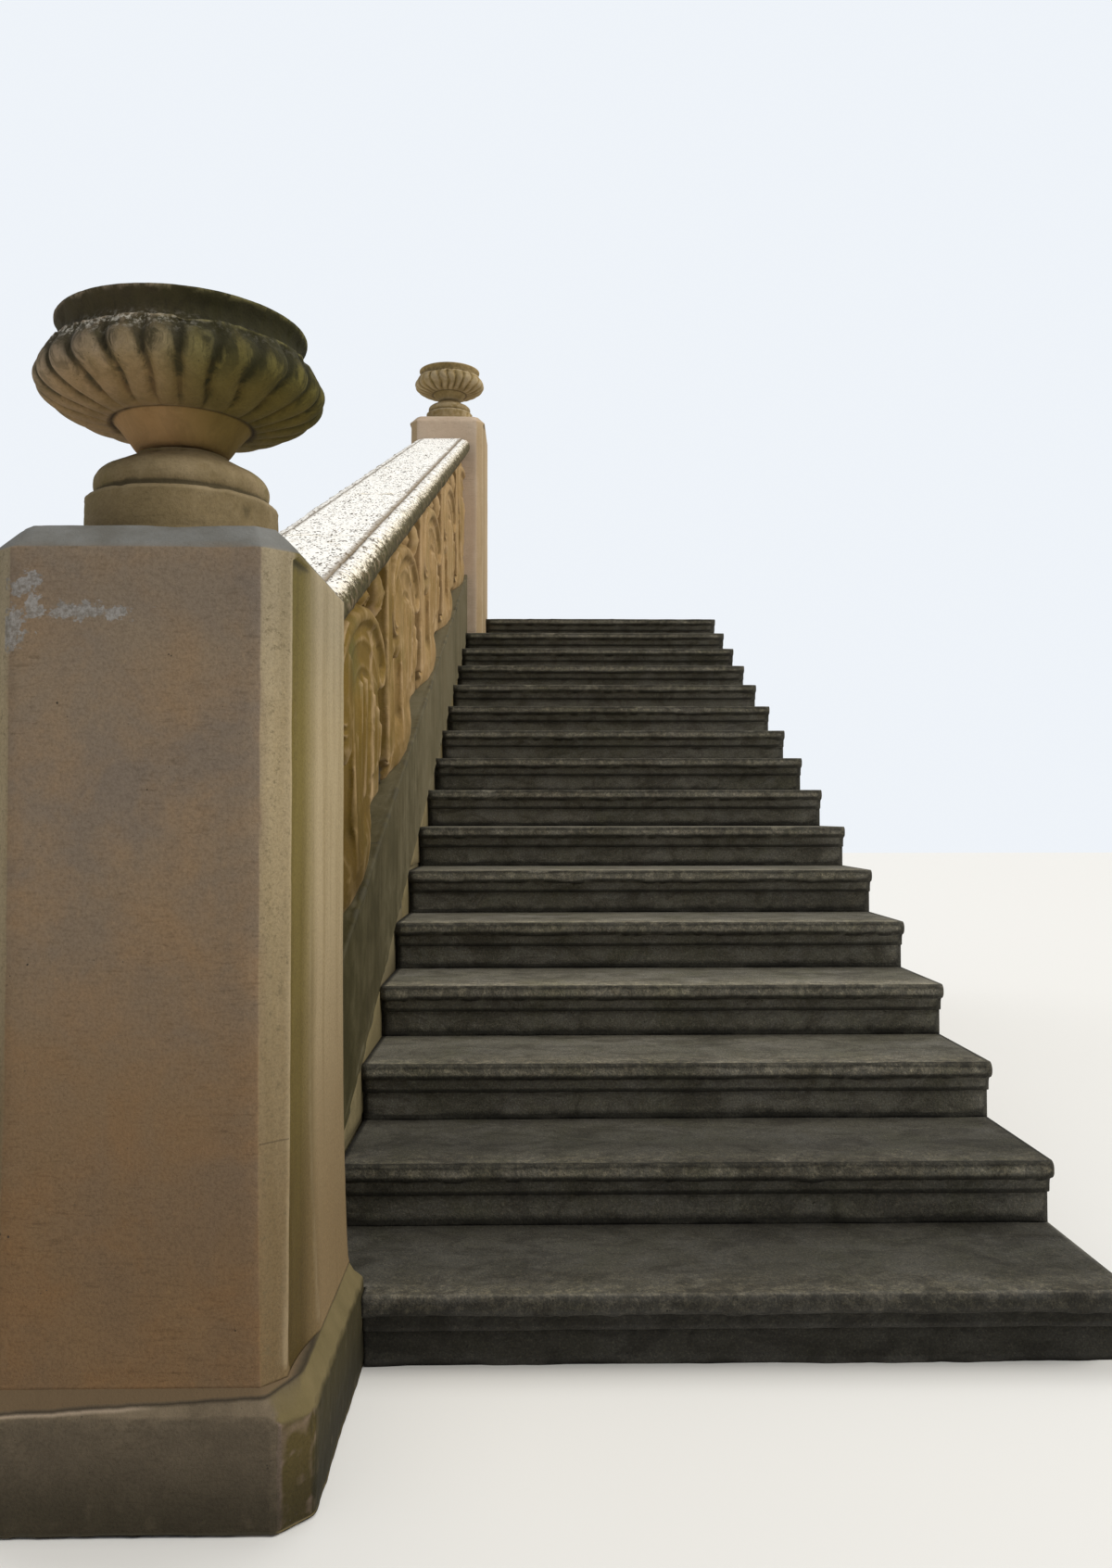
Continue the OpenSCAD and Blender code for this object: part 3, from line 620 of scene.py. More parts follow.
# The flank tones are lighter and yellower than the front: partly the stone's own colour, partly painted
# light on the sides. The band tone darkens the hollow down each flank, partly as painted shade.
pedestal_stone = weathered(
    "pedestal_stone", [(0.252, 0.186, 0.12), (0.195, 0.152, 0.114), (0.275, 0.182, 0.102)],
    flank=[(0.43, 0.345, 0.205), (0.375, 0.295, 0.17), (0.165, 0.125, 0.033)],
    low=(1.15, (0.74, 0.62, 0.48), (0.45, 0.385, 0.31)), crest=((0.42, 0.34, 0.22), 0.3), grain=0.8,
    pits=0.3,
    holes=1.2, strokes=0.6, bump=0.9, marks=die_marks)
plinth_stone = weathered(
    "plinth_stone", [(0.108, 0.084, 0.055), (0.088, 0.069, 0.046), (0.124, 0.097, 0.064)],
    flank=[(0.035, 0.027, 0.006), (0.026, 0.021, 0.0045), (0.026, 0.021, 0.0045)],
    low=(0.13, (0.5, 0.51, 0.46)),
    crest=((0.3, 0.23, 0.15), 0.35), grain=0.8, pits=0.4, strokes=0.5, marks=plinth_marks)
foot_stone = weathered(
    "foot_stone", [(0.22, 0.162, 0.082), (0.175, 0.13, 0.063), (0.28, 0.212, 0.118)],
    hollow=((0.04, 0.032, 0.016), 0.75), crest=((0.4, 0.32, 0.2), 0.35), growth=((0.13, 0.105, 0.03), 0.6),
    grain=0.7, pits=0.3, strokes=0.5)
upper_stone = weathered(
    "upper_stone", [(0.56, 0.435, 0.325), (0.51, 0.39, 0.285), (0.6, 0.48, 0.365)],
    flank=[(0.45, 0.33, 0.2), (0.4, 0.29, 0.165), (0.36, 0.26, 0.145)],
    crest=((0.66, 0.56, 0.43), 0.35), grain=0.5, pits=0.2, bump=0.6)
urn_values = dict(
    soot=(0.032, 0.027, 0.014), hollow=((0.02, 0.017, 0.008), 0.9), crest=((0.44, 0.37, 0.27), 0.4),
    growth=((0.045, 0.048, 0.012), 0.45), grain=1.0, pits=0.6, strokes=0.4, bump=1.3, marks=urn_marks)
urn_stone = weathered("urn_stone", [(0.17, 0.128, 0.06), (0.112, 0.088, 0.037), (0.27, 0.2, 0.118)],
                      **urn_values)
upper_urn_stone = weathered(
    "upper_urn_stone", [(0.32, 0.225, 0.09), (0.22, 0.155, 0.06), (0.42, 0.31, 0.15)],
    hollow=((0.1, 0.07, 0.03), 0.8), crest=((0.6, 0.5, 0.36), 0.4), grain=0.8, pits=0.4, strokes=0.4)
carved_stone = weathered(
    "carved_stone", [(0.366, 0.234, 0.102), (0.292, 0.183, 0.067), (0.413, 0.271, 0.125)],
    damp=((0.52, 0.5, 0.19), 2.5, 0.45), low=(1.6, (0.405, 0.375, 0.2)), hollow=((0.12, 0.08, 0.03), 0.5),
    crest=((0.6, 0.43, 0.26), 0.4),
    growth=((0.17, 0.135, 0.035), 0.35), grain=0.7, pits=0.25, strokes=0.3, marks=border_marks)
string_stone = weathered(
    "string_stone", [(0.146, 0.12, 0.064), (0.116, 0.097, 0.049), (0.166, 0.141, 0.083)],
    damp=((0.26, 0.25, 0.08), 2.4, 0.25), crest=((0.3, 0.27, 0.19), 0.4), grain=0.7, pits=0.2, strokes=0.7,
    bump=0.7)
step_stone = weathered(
    "step_stone", [(0.155, 0.145, 0.115), (0.12, 0.113, 0.087), (0.195, 0.186, 0.16)],
    hollow=((0.02, 0.019, 0.015), 0.8), crest=((0.22, 0.21, 0.185), 0.6), growth=((0.1, 0.1, 0.055), 0.3),
    grain=1.0, pits=0.6, strokes=0.5, bump=2.0, marks=step_marks)
rail_stone = rail_material()
walling = mason_material(
    "walling", [(0.2, 0.165, 0.115), (0.13, 0.11, 0.08), (0.26, 0.22, 0.16)], (0.3, 0.27, 0.21))
rendered = mason_material(
    "rendered_wall", [(0.2, 0.155, 0.075), (0.15, 0.12, 0.055), (0.24, 0.19, 0.1)], (0.16, 0.13, 0.07),
    (0.1, 0.085, 0.04))


# Panels: the same lines as the solids, dressed with mouldings and carving
PANEL_LOW, PANEL_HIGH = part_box("panel_1")
BAY = PANEL_HIGH.y - PANEL_LOW.y
HEIGHT = (PANEL_HIGH.z - PANEL_LOW.z) - BAY * SLOPE
SLAB = 0.09


def turn(centre, r0, r1, a0, a1, count):
    """Points along an arc or spiral that goes from radius r0 to r1 while it turns from a0 to a1."""
    t = np.linspace(0, 1, count)
    a = np.radians(a0 + (a1 - a0) * t)
    r = r0 + (r1 - r0) * t
    return np.stack([centre[0] + r * np.cos(a), centre[1] + r * np.sin(a)], 1)


def raked(points):
    points = np.asarray(points, float)
    return np.stack([points[:, 0], points[:, 1] + points[:, 0] * SLOPE], 1)


def smooth_line(points, step):
    """The same, bent into a smooth curve through the points."""
    points = np.asarray(points, float)
    run = np.concatenate([[0], np.cumsum(np.linalg.norm(np.diff(points, axis=0), axis=1))])
    t = np.linspace(0, run[-1], int(run[-1] / step) + 2)
    grid = np.interp(t, run, points[:, 0]), np.interp(t, run, points[:, 1])
    line = np.stack(grid, 1)
    for _ in range(6):
        line[1:-1] = 0.5 * line[1:-1] + 0.25 * (line[:-2] + line[2:])
    return line


def headings(path):
    step = np.gradient(path, axis=0)
    return step / np.linalg.norm(step, axis=1)[:, None]


class Carving:
    """Collects closed bodies as points (across, along, up) from the bay's lower corner, and quads."""

    def __init__(self):
        self.verts = []
        self.faces = []

    def loft(self, rings):
        """Closed rings of the same number of points, capped at both ends."""
        base = len(self.verts)
        self.verts.extend(tuple(p) for ring in rings for p in ring)
        self.faces.extend(tuple(base + i for i in f) for f in tube_faces(len(rings), len(rings[0])))

    def band(self, path, w0, w1, profile, end=0.25):
        """A moulded band: profile gives (place across the width from -1 to 1, half thickness in metres)."""
        path = raked(path)
        d = headings(path)
        side = np.stack([-d[:, 1], d[:, 0]], 1)
        count = len(path)
        rings = []
        for i in range(count):
            t = i / (count - 1)
            half = (w0 + (w1 - w0) * t) / 2
            fade = min(1.0, (1 - t) / end + 0.35) if end else 1.0
            out = [(thick * (0.88 + 0.12 * fade), *(path[i] + side[i] * half * place * fade))
                   for place, thick in profile]
            rings.append(out + [(-x, y, z) for x, y, z in reversed(out)])
        self.loft(rings)

    def leaf(self, path, breadth, base, dome, lobes):
        """A leaf with lobed sides, a midrib and side veins, on both faces of the slab."""
        path = raked(path)
        d = headings(path)
        side = np.stack([-d[:, 1], d[:, 0]], 1)
        count = len(path)
        cut, rib, start = 0.22, 0.006, 0.15
        rings = []
        for i in range(count):
            s = i / (count - 1)
            swell = start + (1 - start) * math.sin(math.pi * min(s * 1.25, 1) * 0.5)
            body = swell * math.cos(math.pi / 2 * max(0, s - 0.35) / 0.65) ** 0.7
            notch = 0.5 + 0.5 * math.cos(2 * math.pi * (lobes * s + 0.1))
            half = breadth / 2 * max(body, 0.04) * (1 - cut * notch)
            out = []
            for t in np.linspace(-1, 1, 13):
                vein = 0.5 + 0.5 * math.cos(2 * math.pi * (lobes * s + 0.1 - 0.9 * abs(t)))
                high = base + dome * max(body, 0.1) * (1 - abs(t) ** 2.2) * (0.82 + 0.18 * (1 - vein))
                high += rib * math.exp(-(t / 0.14) ** 2)
                out.append((high, *(path[i] + side[i] * half * t)))
            rings.append(out + [(-x, y, z) for x, y, z in reversed(out)])
        self.loft(rings)

    def slab(self, outline, half):
        """A flat piece of the slab from its outline."""
        outline = raked(outline)
        self.loft([[(x, y, z) for y, z in outline] for x in (-half, half)])

    def bud(self, start, end, radius, out, flutes=6, reach=1.0):
        """A swelling bud from one point to another, on both faces, cut with shallow flutes."""
        a, b = raked([start, end])
        along = b - a
        size = np.linalg.norm(along)
        d = along / size
        side = np.array([-d[1], d[0]])
        profile = [(0.0, 0.12), (0.1, 0.5), (0.25, 0.85), (0.42, 1.0), (0.6, 0.96), (0.76, 0.74),
                   (0.9, 0.42), (1.0, 0.1)]
        for sign in (-1, 1):
            rings = []
            for s, r in profile:
                ring = []
                for k in range(24):
                    a_k = 2 * math.pi * k / 24
                    swell = 1 - 0.1 * (0.5 + 0.5 * math.cos(flutes * a_k))
                    p = a + along * s + side * radius * r * swell * math.cos(a_k)
                    ring.append((sign * (out + reach * radius * r * swell * math.sin(a_k)), p[0], p[1]))
                rings.append(ring)
            self.loft(rings)

    def rod(self, u, v0, v1, r0, r1, out, count=16):
        """An upright rod on both faces."""
        for sign in (-1, 1):
            rings = []
            for t in np.linspace(0, 1, 9):
                r = r0 + (r1 - r0) * t
                z = v0 + (v1 - v0) * t + u * SLOPE
                angles = [2 * math.pi * k / count for k in range(count)]
                rings.append([(sign * (out + r * math.cos(a)), u + r * math.sin(a), z) for a in angles])
            self.loft(rings)

    def ball(self, centre, radius, out):
        y, z = raked([centre])[0]
        for sign in (-1, 1):
            rings = []
            for t in np.linspace(0.06, 0.94, 8):
                r, h = radius * math.sin(math.pi * t), radius * math.cos(math.pi * t)
                angles = [2 * math.pi * k / 16 for k in range(16)]
                rings.append([(sign * out + h, y + r * math.cos(a), z + r * math.sin(a)) for a in angles])
            self.loft(rings)


# The moulding across a scroll: side, quirk, bead, hollow, bead, quirk, side
SCROLL = [(-1, 0.1), (-0.94, 0.112), (-0.86, 0.128), (-0.74, 0.142), (-0.58, 0.147), (-0.42, 0.142),
          (-0.3, 0.132),
          (0, 0.126), (0.3, 0.132), (0.42, 0.142), (0.58, 0.147), (0.74, 0.142), (0.86, 0.128),
          (0.94, 0.112), (1, 0.1)]
RIDGE = [(-1, 0.12), (-0.6, 0.1285), (-0.3, 0.1335), (0, 0.1355), (0.3, 0.1335), (0.6, 0.1285), (1, 0.12)]
ROUND = [(-1, 0.102), (-0.85, 0.122), (-0.6, 0.137), (-0.25, 0.144), (0.25, 0.144), (0.6, 0.137),
         (0.85, 0.122), (1, 0.102)]


# The lines of the arch over a joint and of the two ridges inside it, in shares of the bay and the height
ARCH = [(-0.52, 0.895), (-0.42, 0.925), (-0.3, 0.935), (-0.2, 0.92), (-0.08, 0.88), (0.04, 0.81),
        (0.14, 0.72), (0.205, 0.63), (0.222, 0.57)]
SECOND = [(-0.46, 0.8), (-0.38, 0.84), (-0.28, 0.85), (-0.19, 0.835), (-0.08, 0.785), (0.02, 0.71),
          (0.1, 0.62), (0.14, 0.52), (0.145, 0.44)]
THIRD = [(-0.34, 0.73), (-0.26, 0.75), (-0.18, 0.735), (-0.09, 0.69), (-0.01, 0.62), (0.055, 0.53),
         (0.085, 0.42), (0.09, 0.3)]


def carve_bay():
    """The carving of one bay, with what stands round the joints at both of its ends."""
    l, h = BAY, HEIGHT
    c = Carving()

    def at(u, *points):
        """Places in metres, from shares of the bay's length after u and of its height."""
        return [(u + y * l, z * h) for y, z in points]

    c.slab(square(-0.02, l + 0.02, 0, 0.06 * h), SLAB)
    c.slab(square(-0.02, l + 0.02, 0.94 * h, h), SLAB)
    foot = 0.01 / h
    for u in (0, l):
        c.slab(at(u, (-0.36, foot), (0.1, foot), (0.15, 0.57), (0.12, 0.68), (0.03, 0.78), (-0.09, 0.87),
                  (-0.28, 0.89), (-0.38, 0.7)), 0.115)
        c.slab(at(u, (-0.42, 0.66), (-0.1, 0.55), (0.15, 0.5), (0.19, 0.62), (0.03, 0.79), (-0.15, 0.88),
                  (-0.4, 0.9)), 0.128)
        curl = turn(*at(u, (0.172, 0.57)), 0.05 * h, 0.03 * h, 0, -230, 20)
        c.band(np.vstack([smooth_line(at(u, *ARCH), 0.012), curl[1:]]), 0.1 * h, 0.05 * h, ROUND)
        c.band(smooth_line(at(u, *SECOND), 0.012), 0.05 * h, 0.034 * h, RIDGE)
        c.band(smooth_line(at(u, *THIRD), 0.012), 0.045 * h, 0.03 * h, RIDGE)
        body = smooth_line(at(u, (-0.44, 0.86), (-0.45, 0.72), (-0.44, 0.5)), 0.012)
        c.band(body, 0.27 * h, 0.21 * h, ROUND, 0.2)
        c.slab(at(u, (-0.28, 0.22), (0.14, 0.12), (0.145, 0.4), (0.1, 0.56), (-0.05, 0.64), (-0.28, 0.7)),
               0.134)
        for x, top in ((-0.24, 0.7), (-0.16, 0.68), (-0.07, 0.62), (0.0, 0.56), (0.07, 0.48), (0.12, 0.4)):
            c.rod(u + x * l, 0.26 * h, top * h, 0.024, 0.027, 0.117)
        c.bud(*at(u, (-0.56, 0.06), (0.16, 0.1)), 0.19 * h, 0.085, 0, 0.52)
        c.bud(*at(u, (-0.44, 0.08), (0, 0.12)), 0.1 * h, 0.114, 0, 0.56)
        c.bud(*at(u, (0.2, 1), (0.21, 0.79)), 0.05 * h, SLAB + 0.01)
        c.leaf(at(u, (-0.02, 1.02), (0, 0.93), (0.01, 0.84)), 0.16 * h, 0.09, 0.04, 3)
        c.leaf(at(u, (-0.2, 1.02), (-0.19, 0.92), (-0.16, 0.79)), 0.13 * h, 0.09, 0.04, 3)
    flat_scroll = [(s, 0.88 * x) for s, x in SCROLL]
    low, high = at(0, (0.455, 0.356), (0.535, 0.76))
    c.band(turn(low, 0.255 * h, 0.06 * h, -50, -470, 60), 0.1 * h, 0.05 * h, flat_scroll)
    c.band(turn(high, 0.19 * h, 0.052 * h, 80, 470, 50), 0.075 * h, 0.04 * h, SCROLL)
    c.ball(low, 0.024, 0.115)
    c.ball(high, 0.021, 0.115)
    lines = [
        ([(0.46, 0.44), (0.49, 0.57), (0.53, 0.7)], 0.13, 3),
        ([(0.54, 0.2), (0.6, 0.1), (0.66, 0.03)], 0.14, 3),
        ([(0.44, 0.02), (0.45, 0.09), (0.46, 0.17)], 0.11, 2),
        ([(0.62, 0.97), (0.65, 0.8), (0.67, 0.58)], 0.11, 4),
        ([(0.73, 0.5), (0.78, 0.56), (0.84, 0.63)], 0.13, 3),
        ([(0.25, 0.97), (0.23, 0.88), (0.2, 0.78)], 0.12, 3),
        ([(0.86, 0.5), (0.88, 0.4), (0.9, 0.3)], 0.08, 3)]
    for path, breadth, lobes in lines:
        fine = np.array([np.interp(np.linspace(0, 1, 19), [0, 0.5, 1], [p[k] for p in path])
                         for k in (0, 1)]).T
        c.leaf(fine * (l, h), 1.2 * breadth * h, 0.104, 0.036, lobes)
    c.slab(at(0, (0.08, 0), (0.64, 0), (0.64, 0.09), (0.3, 0.2), (0.08, 0.2)), SLAB)
    carve_console(c, (0.655, 0.685), (0.775, 0.745), (0.148, 0.125), 0.09)
    carve_console(c, (0.28, 0.3), (0.42, 0.39), (0.147, 0.138), 0.17)
    return c


def carve_console(c, low, high, reach, start):
    """A tapered console with reeds on all sides. low and high hold the places of its two edges at foot
    and head."""
    rings = []
    foot, head = reach
    for t in np.linspace(0, 1, 24):
        near = (low[0] + (low[1] - low[0]) * t) * BAY
        far = (high[0] + (high[1] - high[0]) * t) * BAY
        v = start * HEIGHT + (1 - start) * HEIGHT * t
        wide = foot + (head - foot) * t
        half, mid = (far - near) / 2, (far + near) / 2
        ring = []
        for k in range(120):
            a = 2 * math.pi * k / 120
            edge = max(abs(math.cos(a)), abs(math.sin(a)))
            x, y = math.cos(a) / edge, math.sin(a) / edge
            on_face = abs(x) >= abs(y)
            across, reeds = (y, 4) if on_face else (x, 15)
            cut = 0.5 + 0.5 * math.cos(2 * math.pi * (across * reeds / 2 + 0.5))
            depth = 0.006 * min(1.0, 0.25 + 2.5 * t) * (1 - abs(cut) ** 0.6)
            px = x * (wide - (depth if on_face else 0))
            py = mid + y * (half - (0 if on_face else depth))
            ring.append((px, py, v + py * SLOPE))
        rings.append(ring)
    c.loft(rings)


def voxel_mesh(name, carving, size):
    raw = build_object(name + "_raw", carving.verts, carving.faces)
    face_outwards(raw.data)
    mod = raw.modifiers.new("voxels", "REMESH")
    mod.mode = "VOXEL"
    mod.voxel_size = size
    mesh = modified_mesh(raw)
    bpy.data.objects.remove(raw)
    return mesh


def cut_ends(mesh, low, high):
    """Cuts the mesh square at two places along the flight and closes it again."""
    bm = bmesh.new()
    bm.from_mesh(mesh)
    for place, way in ((low, -1), (high, 1)):
        bmesh.ops.bisect_plane(bm, geom=bm.verts[:] + bm.edges[:] + bm.faces[:], dist=1e-5,
                               plane_co=(0, place, 0), plane_no=(0, way, 0), clear_outer=True)
        rim = [e for e in bm.edges if e.is_boundary]
        bmesh.ops.holes_fill(bm, edges=rim, sides=0)
    bmesh.ops.triangulate(bm, faces=[f for f in bm.faces if len(f.verts) > 4])
    bm.to_mesh(mesh)
    bm.free()


def make_panels():
    size = VOXEL
    master = voxel_mesh("panel", carve_bay(), size)
    cut_ends(master, 0.001, BAY - 0.001)
    holder = new_object("panel_master", master)
    set_points(holder, relaxed(points_of(holder), edges_of(holder), 4))
    mod = holder.modifiers.new("lean", "DECIMATE")
    mod.ratio = KEPT_FACES
    lean = modified_mesh(holder)
    bpy.data.objects.remove(holder)
    for bay in range(1, BAYS + 1):
        low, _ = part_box(f"panel_{bay}")
        mesh = lean.copy()
        obj = new_object(f"carved_panel_{bay}", mesh)
        mesh.polygons.foreach_set("use_smooth", [True] * len(mesh.polygons))
        co = points_of(obj) + (MIDDLE, low.y, low.z)
        set_points(obj, co)
        no = normals_of(obj)
        worn = 0.0016 * fbm(co, 28, 3, bay)
        co = co + no * worn[:, None]
        co[:, 1] = np.clip(co[:, 1], low.y + 0.0008, low.y + BAY - 0.0008)
        co[:, 0] = np.clip(co[:, 0], STRING_LOW.x + 0.002, STRING_HIGH.x - 0.002)
        foot = low.z + (co[:, 1] - low.y) * SLOPE + 0.0005
        co[:, 2] = np.clip(co[:, 2], foot, foot + HEIGHT - 0.001)
        set_points(obj, co)
        mark_relief(obj, 10, 0.005)
        level = co[:, 2] - low.z - (co[:, 1] - low.y) * SLOPE
        border = clamp((0.2 * HEIGHT - level) / 0.03) * (np.abs(co[:, 0] - MIDDLE) < SLAB + 0.01)
        add_attribute(obj, "border", border)
        finish_piece(obj, f"panel_{bay}", carved_stone)


make_panels()


# Blocks with rounded arrises, from a plan and a profile of (inset, level)
def inset(corners, distance):
    """Moves each side of a convex plan inwards. Its corners go round counter-clockwise."""
    corners = np.asarray(corners, float)
    count = len(corners)
    out = []
    for i in range(count):
        a, b, c = corners[i - 1], corners[i], corners[(i + 1) % count]
        d1 = (b - a) / np.linalg.norm(b - a)
        d2 = (c - b) / np.linalg.norm(c - b)
        n1 = np.array([-d1[1], d1[0]])
        n2 = np.array([-d2[1], d2[0]])
        out.append(b + (n1 + n2) * distance / (1 + n1 @ n2))
    return np.array(out)


def along_side(length, spacing):
    """Places along a side between two rounded corners, closer together near its ends."""
    near = [s for s in (0.0, 0.004, 0.009, 0.016) if s < length / 2 - 0.004]
    inner = near[-1] + 0.008 if near else 0.0
    if length - 2 * inner <= 0.004:
        return np.linspace(0, length, 3)
    count = max(2, int((length - 2 * inner) / spacing) + 1)
    middle = np.linspace(inner, length - inner, count)
    return np.concatenate([near, middle, [length - s for s in reversed(near)]])


def rounded(corners, plan, radius, closed=True):
    """Points along the sides with rounded corners. plan holds the places along each side, from the
    widest outline."""
    corners = np.asarray(corners, float)
    count = len(corners)
    points, edge = [], []
    sides = count if closed else count - 1
    for i in range(sides):
        a, b = corners[i], corners[(i + 1) % count]
        length = np.linalg.norm(b - a)
        d = (b - a) / length
        r = min(radius, 0.4 * length)
        first = 0.0 if (not closed and i == 0) else r
        last = length if (not closed and i == sides - 1) else length - r
        share = plan[i] / plan[i][-1]
        for s in first + (last - first) * share:
            points.append(a + d * s)
            edge.append(min(s, length - s))
        if closed or i < sides - 1:
            c = corners[(i + 2) % count]
            d2 = (c - b) / np.linalg.norm(c - b)
            r2 = min(radius, 0.4 * np.linalg.norm(c - b))
            start, end = b - d * (length - last), b + d2 * r2
            for t in (0.25, 0.5, 0.75):
                points.append((1 - t) ** 2 * start + 2 * t * (1 - t) * b + t * t * end)
                edge.append(0.0)
    return np.array(points), np.array(edge)


def make_block(name, outline, profile, spacing, radius=0.004, top_rings=8):
    """A block up a profile of (inset, level), closed over the top and under the foot. outline(inset)
    is its plan."""
    corners = np.asarray(outline(0.0), float)
    count = len(corners)
    plan = [along_side(np.linalg.norm(corners[(i + 1) % count] - corners[i]), spacing)
            for i in range(count)]
    profile = np.asarray(profile, float)
    rise = [along_side(np.linalg.norm(profile[i + 1] - profile[i]), spacing)
            for i in range(len(profile) - 1)]
    levels, level_edge = rounded(profile, rise, radius, closed=False)
    last = levels[-1]
    width = np.abs(corners).max() * 0.94 - last[0]
    extra = [(last[0] + width * t, last[1]) for t in np.linspace(0, 1, top_rings + 1)[1:]]
    verts, edge = [], []
    for (distance, z), near in zip(list(levels) + extra, list(level_edge) + [1.0] * top_rings):
        ring, ring_edge = rounded(outline(min(distance, last[0])), plan, radius)
        if distance > last[0]:
            ring = ring * (1 - (distance - last[0]) / (width / 0.97))
            ring_edge = ring_edge + 1.0
        for p, e in zip(ring, ring_edge):
            verts.append((p[0], p[1], z))
            edge.append(min(e, near))
    obj = build_object(name, verts, tube_faces(len(verts) // len(ring), len(ring)))
    return obj, peak(np.array(edge), 0.011)


def weather(obj, edge, seed, roll=0.0012, chip=0.012, chip_scale=16.0, chip_from=0.12, joint=-9.0):
    """Wears the surface inwards: slow waves, small grain, and chips along its arrises but not at the
    ground."""
    co, no = points_of(obj), normals_of(obj)
    waves = roll * (fbm(co, 5, 3, seed) * 0.7 + fbm(co, 45, 2, seed + 5) * 0.3 - 1.0)
    lost = chip * clamp(fbm(co, chip_scale, 3, seed + 9) - chip_from) * edge * clamp(co[:, 2] / 0.05)
    lost = lost + 0.0016 * edge
    tight = clamp(np.abs(co[:, 2] - joint) / 0.012)
    set_points(obj, co + no * ((waves - lost) * tight)[:, None])


def cut_box(obj, low, high):
    """Cuts a box-shaped space out of a piece."""
    low, high = np.array(low), np.array(high)
    verts = [tuple(low + (high - low) * (i, j, k)) for i in (0, 1) for j in (0, 1) for k in (0, 1)]
    faces = [(0, 1, 3, 2), (4, 6, 7, 5), (0, 4, 5, 1), (2, 3, 7, 6), (0, 2, 6, 4), (1, 5, 7, 3)]
    tool = build_object("cut", verts, faces, False)
    mod = obj.modifiers.new("cut", "BOOLEAN")
    mod.operation = "DIFFERENCE"
    mod.solver = "EXACT"
    mod.object = tool
    mesh = modified_mesh(obj)
    obj.modifiers.clear()
    obj.data = mesh
    bpy.data.objects.remove(tool)


def chamfered(half, chamfer):
    """Plan of a pedestal: square with its two front corners chamfered."""
    return [(-half + chamfer, -half), (half - chamfer, -half), (half, -half + chamfer), (half, half),
            (-half, half), (-half, -half + chamfer)]


def make_die(node, low, high, flare, seed, material, spacing):
    """A die, spread by flare at its foot, with a hollow down each flank that is deepest at the chamfer."""
    half = (high.x - low.x) / 2
    shaft = half - flare
    height = high.z - low.z
    profile = [(0, 0), (0, height - BEVEL), (BEVEL, height)]
    obj, edge = make_block("worn_" + node, lambda distance: inset(chamfered(shaft, CHAMFER), distance),
                           profile, spacing)
    co = points_of(obj)
    co[:, :2] *= 1 + flare / shaft * clamp(1 - co[:, 2:] / 0.5) ** 2
    arc = (HOLLOW_HALF ** 2 + HOLLOW_DEPTH ** 2) / (2 * HOLLOW_DEPTH)
    off = np.clip(np.abs(co[:, 1] + shaft - 0.8 * CHAMFER), 0, arc)
    depth = np.sqrt(arc ** 2 - off ** 2) - (arc - HOLLOW_DEPTH)
    above = clamp((co[:, 2] - (height - BEVEL - 0.01)) / 0.004)
    co[:, 0] = np.sign(co[:, 0]) * np.minimum(np.abs(co[:, 0]), shaft - depth + 2 * HOLLOW_DEPTH * above)
    behind = co[:, 1] + shaft
    band = clamp((behind - 0.8 * CHAMFER) / 0.006) * clamp((0.2 - behind) / 0.1)
    set_points(obj, co)
    weather(obj, edge, seed, chip=0.0035, joint=0.0)
    set_points(obj, points_of(obj) + ((low.x + high.x) / 2, (low.y + high.y) / 2, low.z))
    mark_relief(obj, 8, 0.003, low.z)
    add_attribute(obj, "band", band)
    return finish_piece(obj, node, material)


def make_plinth():
    half = (PLINTH_HIGH.x - PLINTH_LOW.x) / 2
    rise = PLINTH_HIGH.z - PLINTH_LOW.z
    profile = [(0, 0), (0, rise - PLINTH_WEATHERING), (half - (DIE_HIGH.x - DIE_LOW.x) / 2, rise)]
    obj, edge = make_block("worn_lower_plinth", lambda distance: chamfered(half - distance, CHAMFER),
                           profile, 0.008, 0.009)
    add_attribute(obj, "arris", edge)
    cut_box(obj, (STRING_LOW.x - 0.002, STRING_LOW.y, -0.1),
            (STRING_HIGH.x + 0.002, STRING_LOW.y + 0.2, 0.5))
    weather(obj, values_of(obj, "arris"), 31, roll=0.004, chip=0.008, chip_scale=13, chip_from=0.16,
            joint=PLINTH_HIGH.z)
    mark_relief(obj, 8, 0.003, PLINTH_HIGH.z)
    finish_piece(obj, "lower_plinth", plinth_stone)


# Urns: revolved and gadrooned from the same levels as the solids
def revolve(name, rows, around):
    """Rows of (radius, level) or functions of the angle turned round the axis, closed at both ends."""
    a = np.linspace(0, 2 * math.pi, around, endpoint=False)
    rings = []
    for radius, level in rows:
        r = radius(a) if callable(radius) else np.full(around, radius)
        rings.append(np.stack([r * np.cos(a), r * np.sin(a), np.full(around, level)], 1))
    return tube(name, rings)


def dense(points, step):
    """A polyline with points no further apart than step."""
    out = [points[0]]
    for a, b in zip(points[:-1], points[1:]):
        n = max(1, int(math.ceil(math.dist(a, b) / step)))
        out.extend(((a[0] + (b[0] - a[0]) * k / n, a[1] + (b[1] - a[1]) * k / n) for k in range(1, n + 1)))
    return out


def lobe_share(s):
    """The depth of the grooves between the lobes as a share, from the cup (0) to the brow (1)."""
    return (0.25 + 0.75 * clamp(s * 1.6)) * clamp(s * 6) * (1 - clamp((s - 0.86) / 0.14)) ** 0.7


def lobe_valley(a, s, seed):
    """1 in the groove between two lobes and 0 on their crowns. The grooves wander a little."""
    shift = 0.025 * np.sin(5 * a + seed) + 0.035 * np.sin(9 * s) * np.sin(3 * a + seed)
    return 1 - np.abs(np.sin((a + shift) * LOBES / 2)) ** 0.6


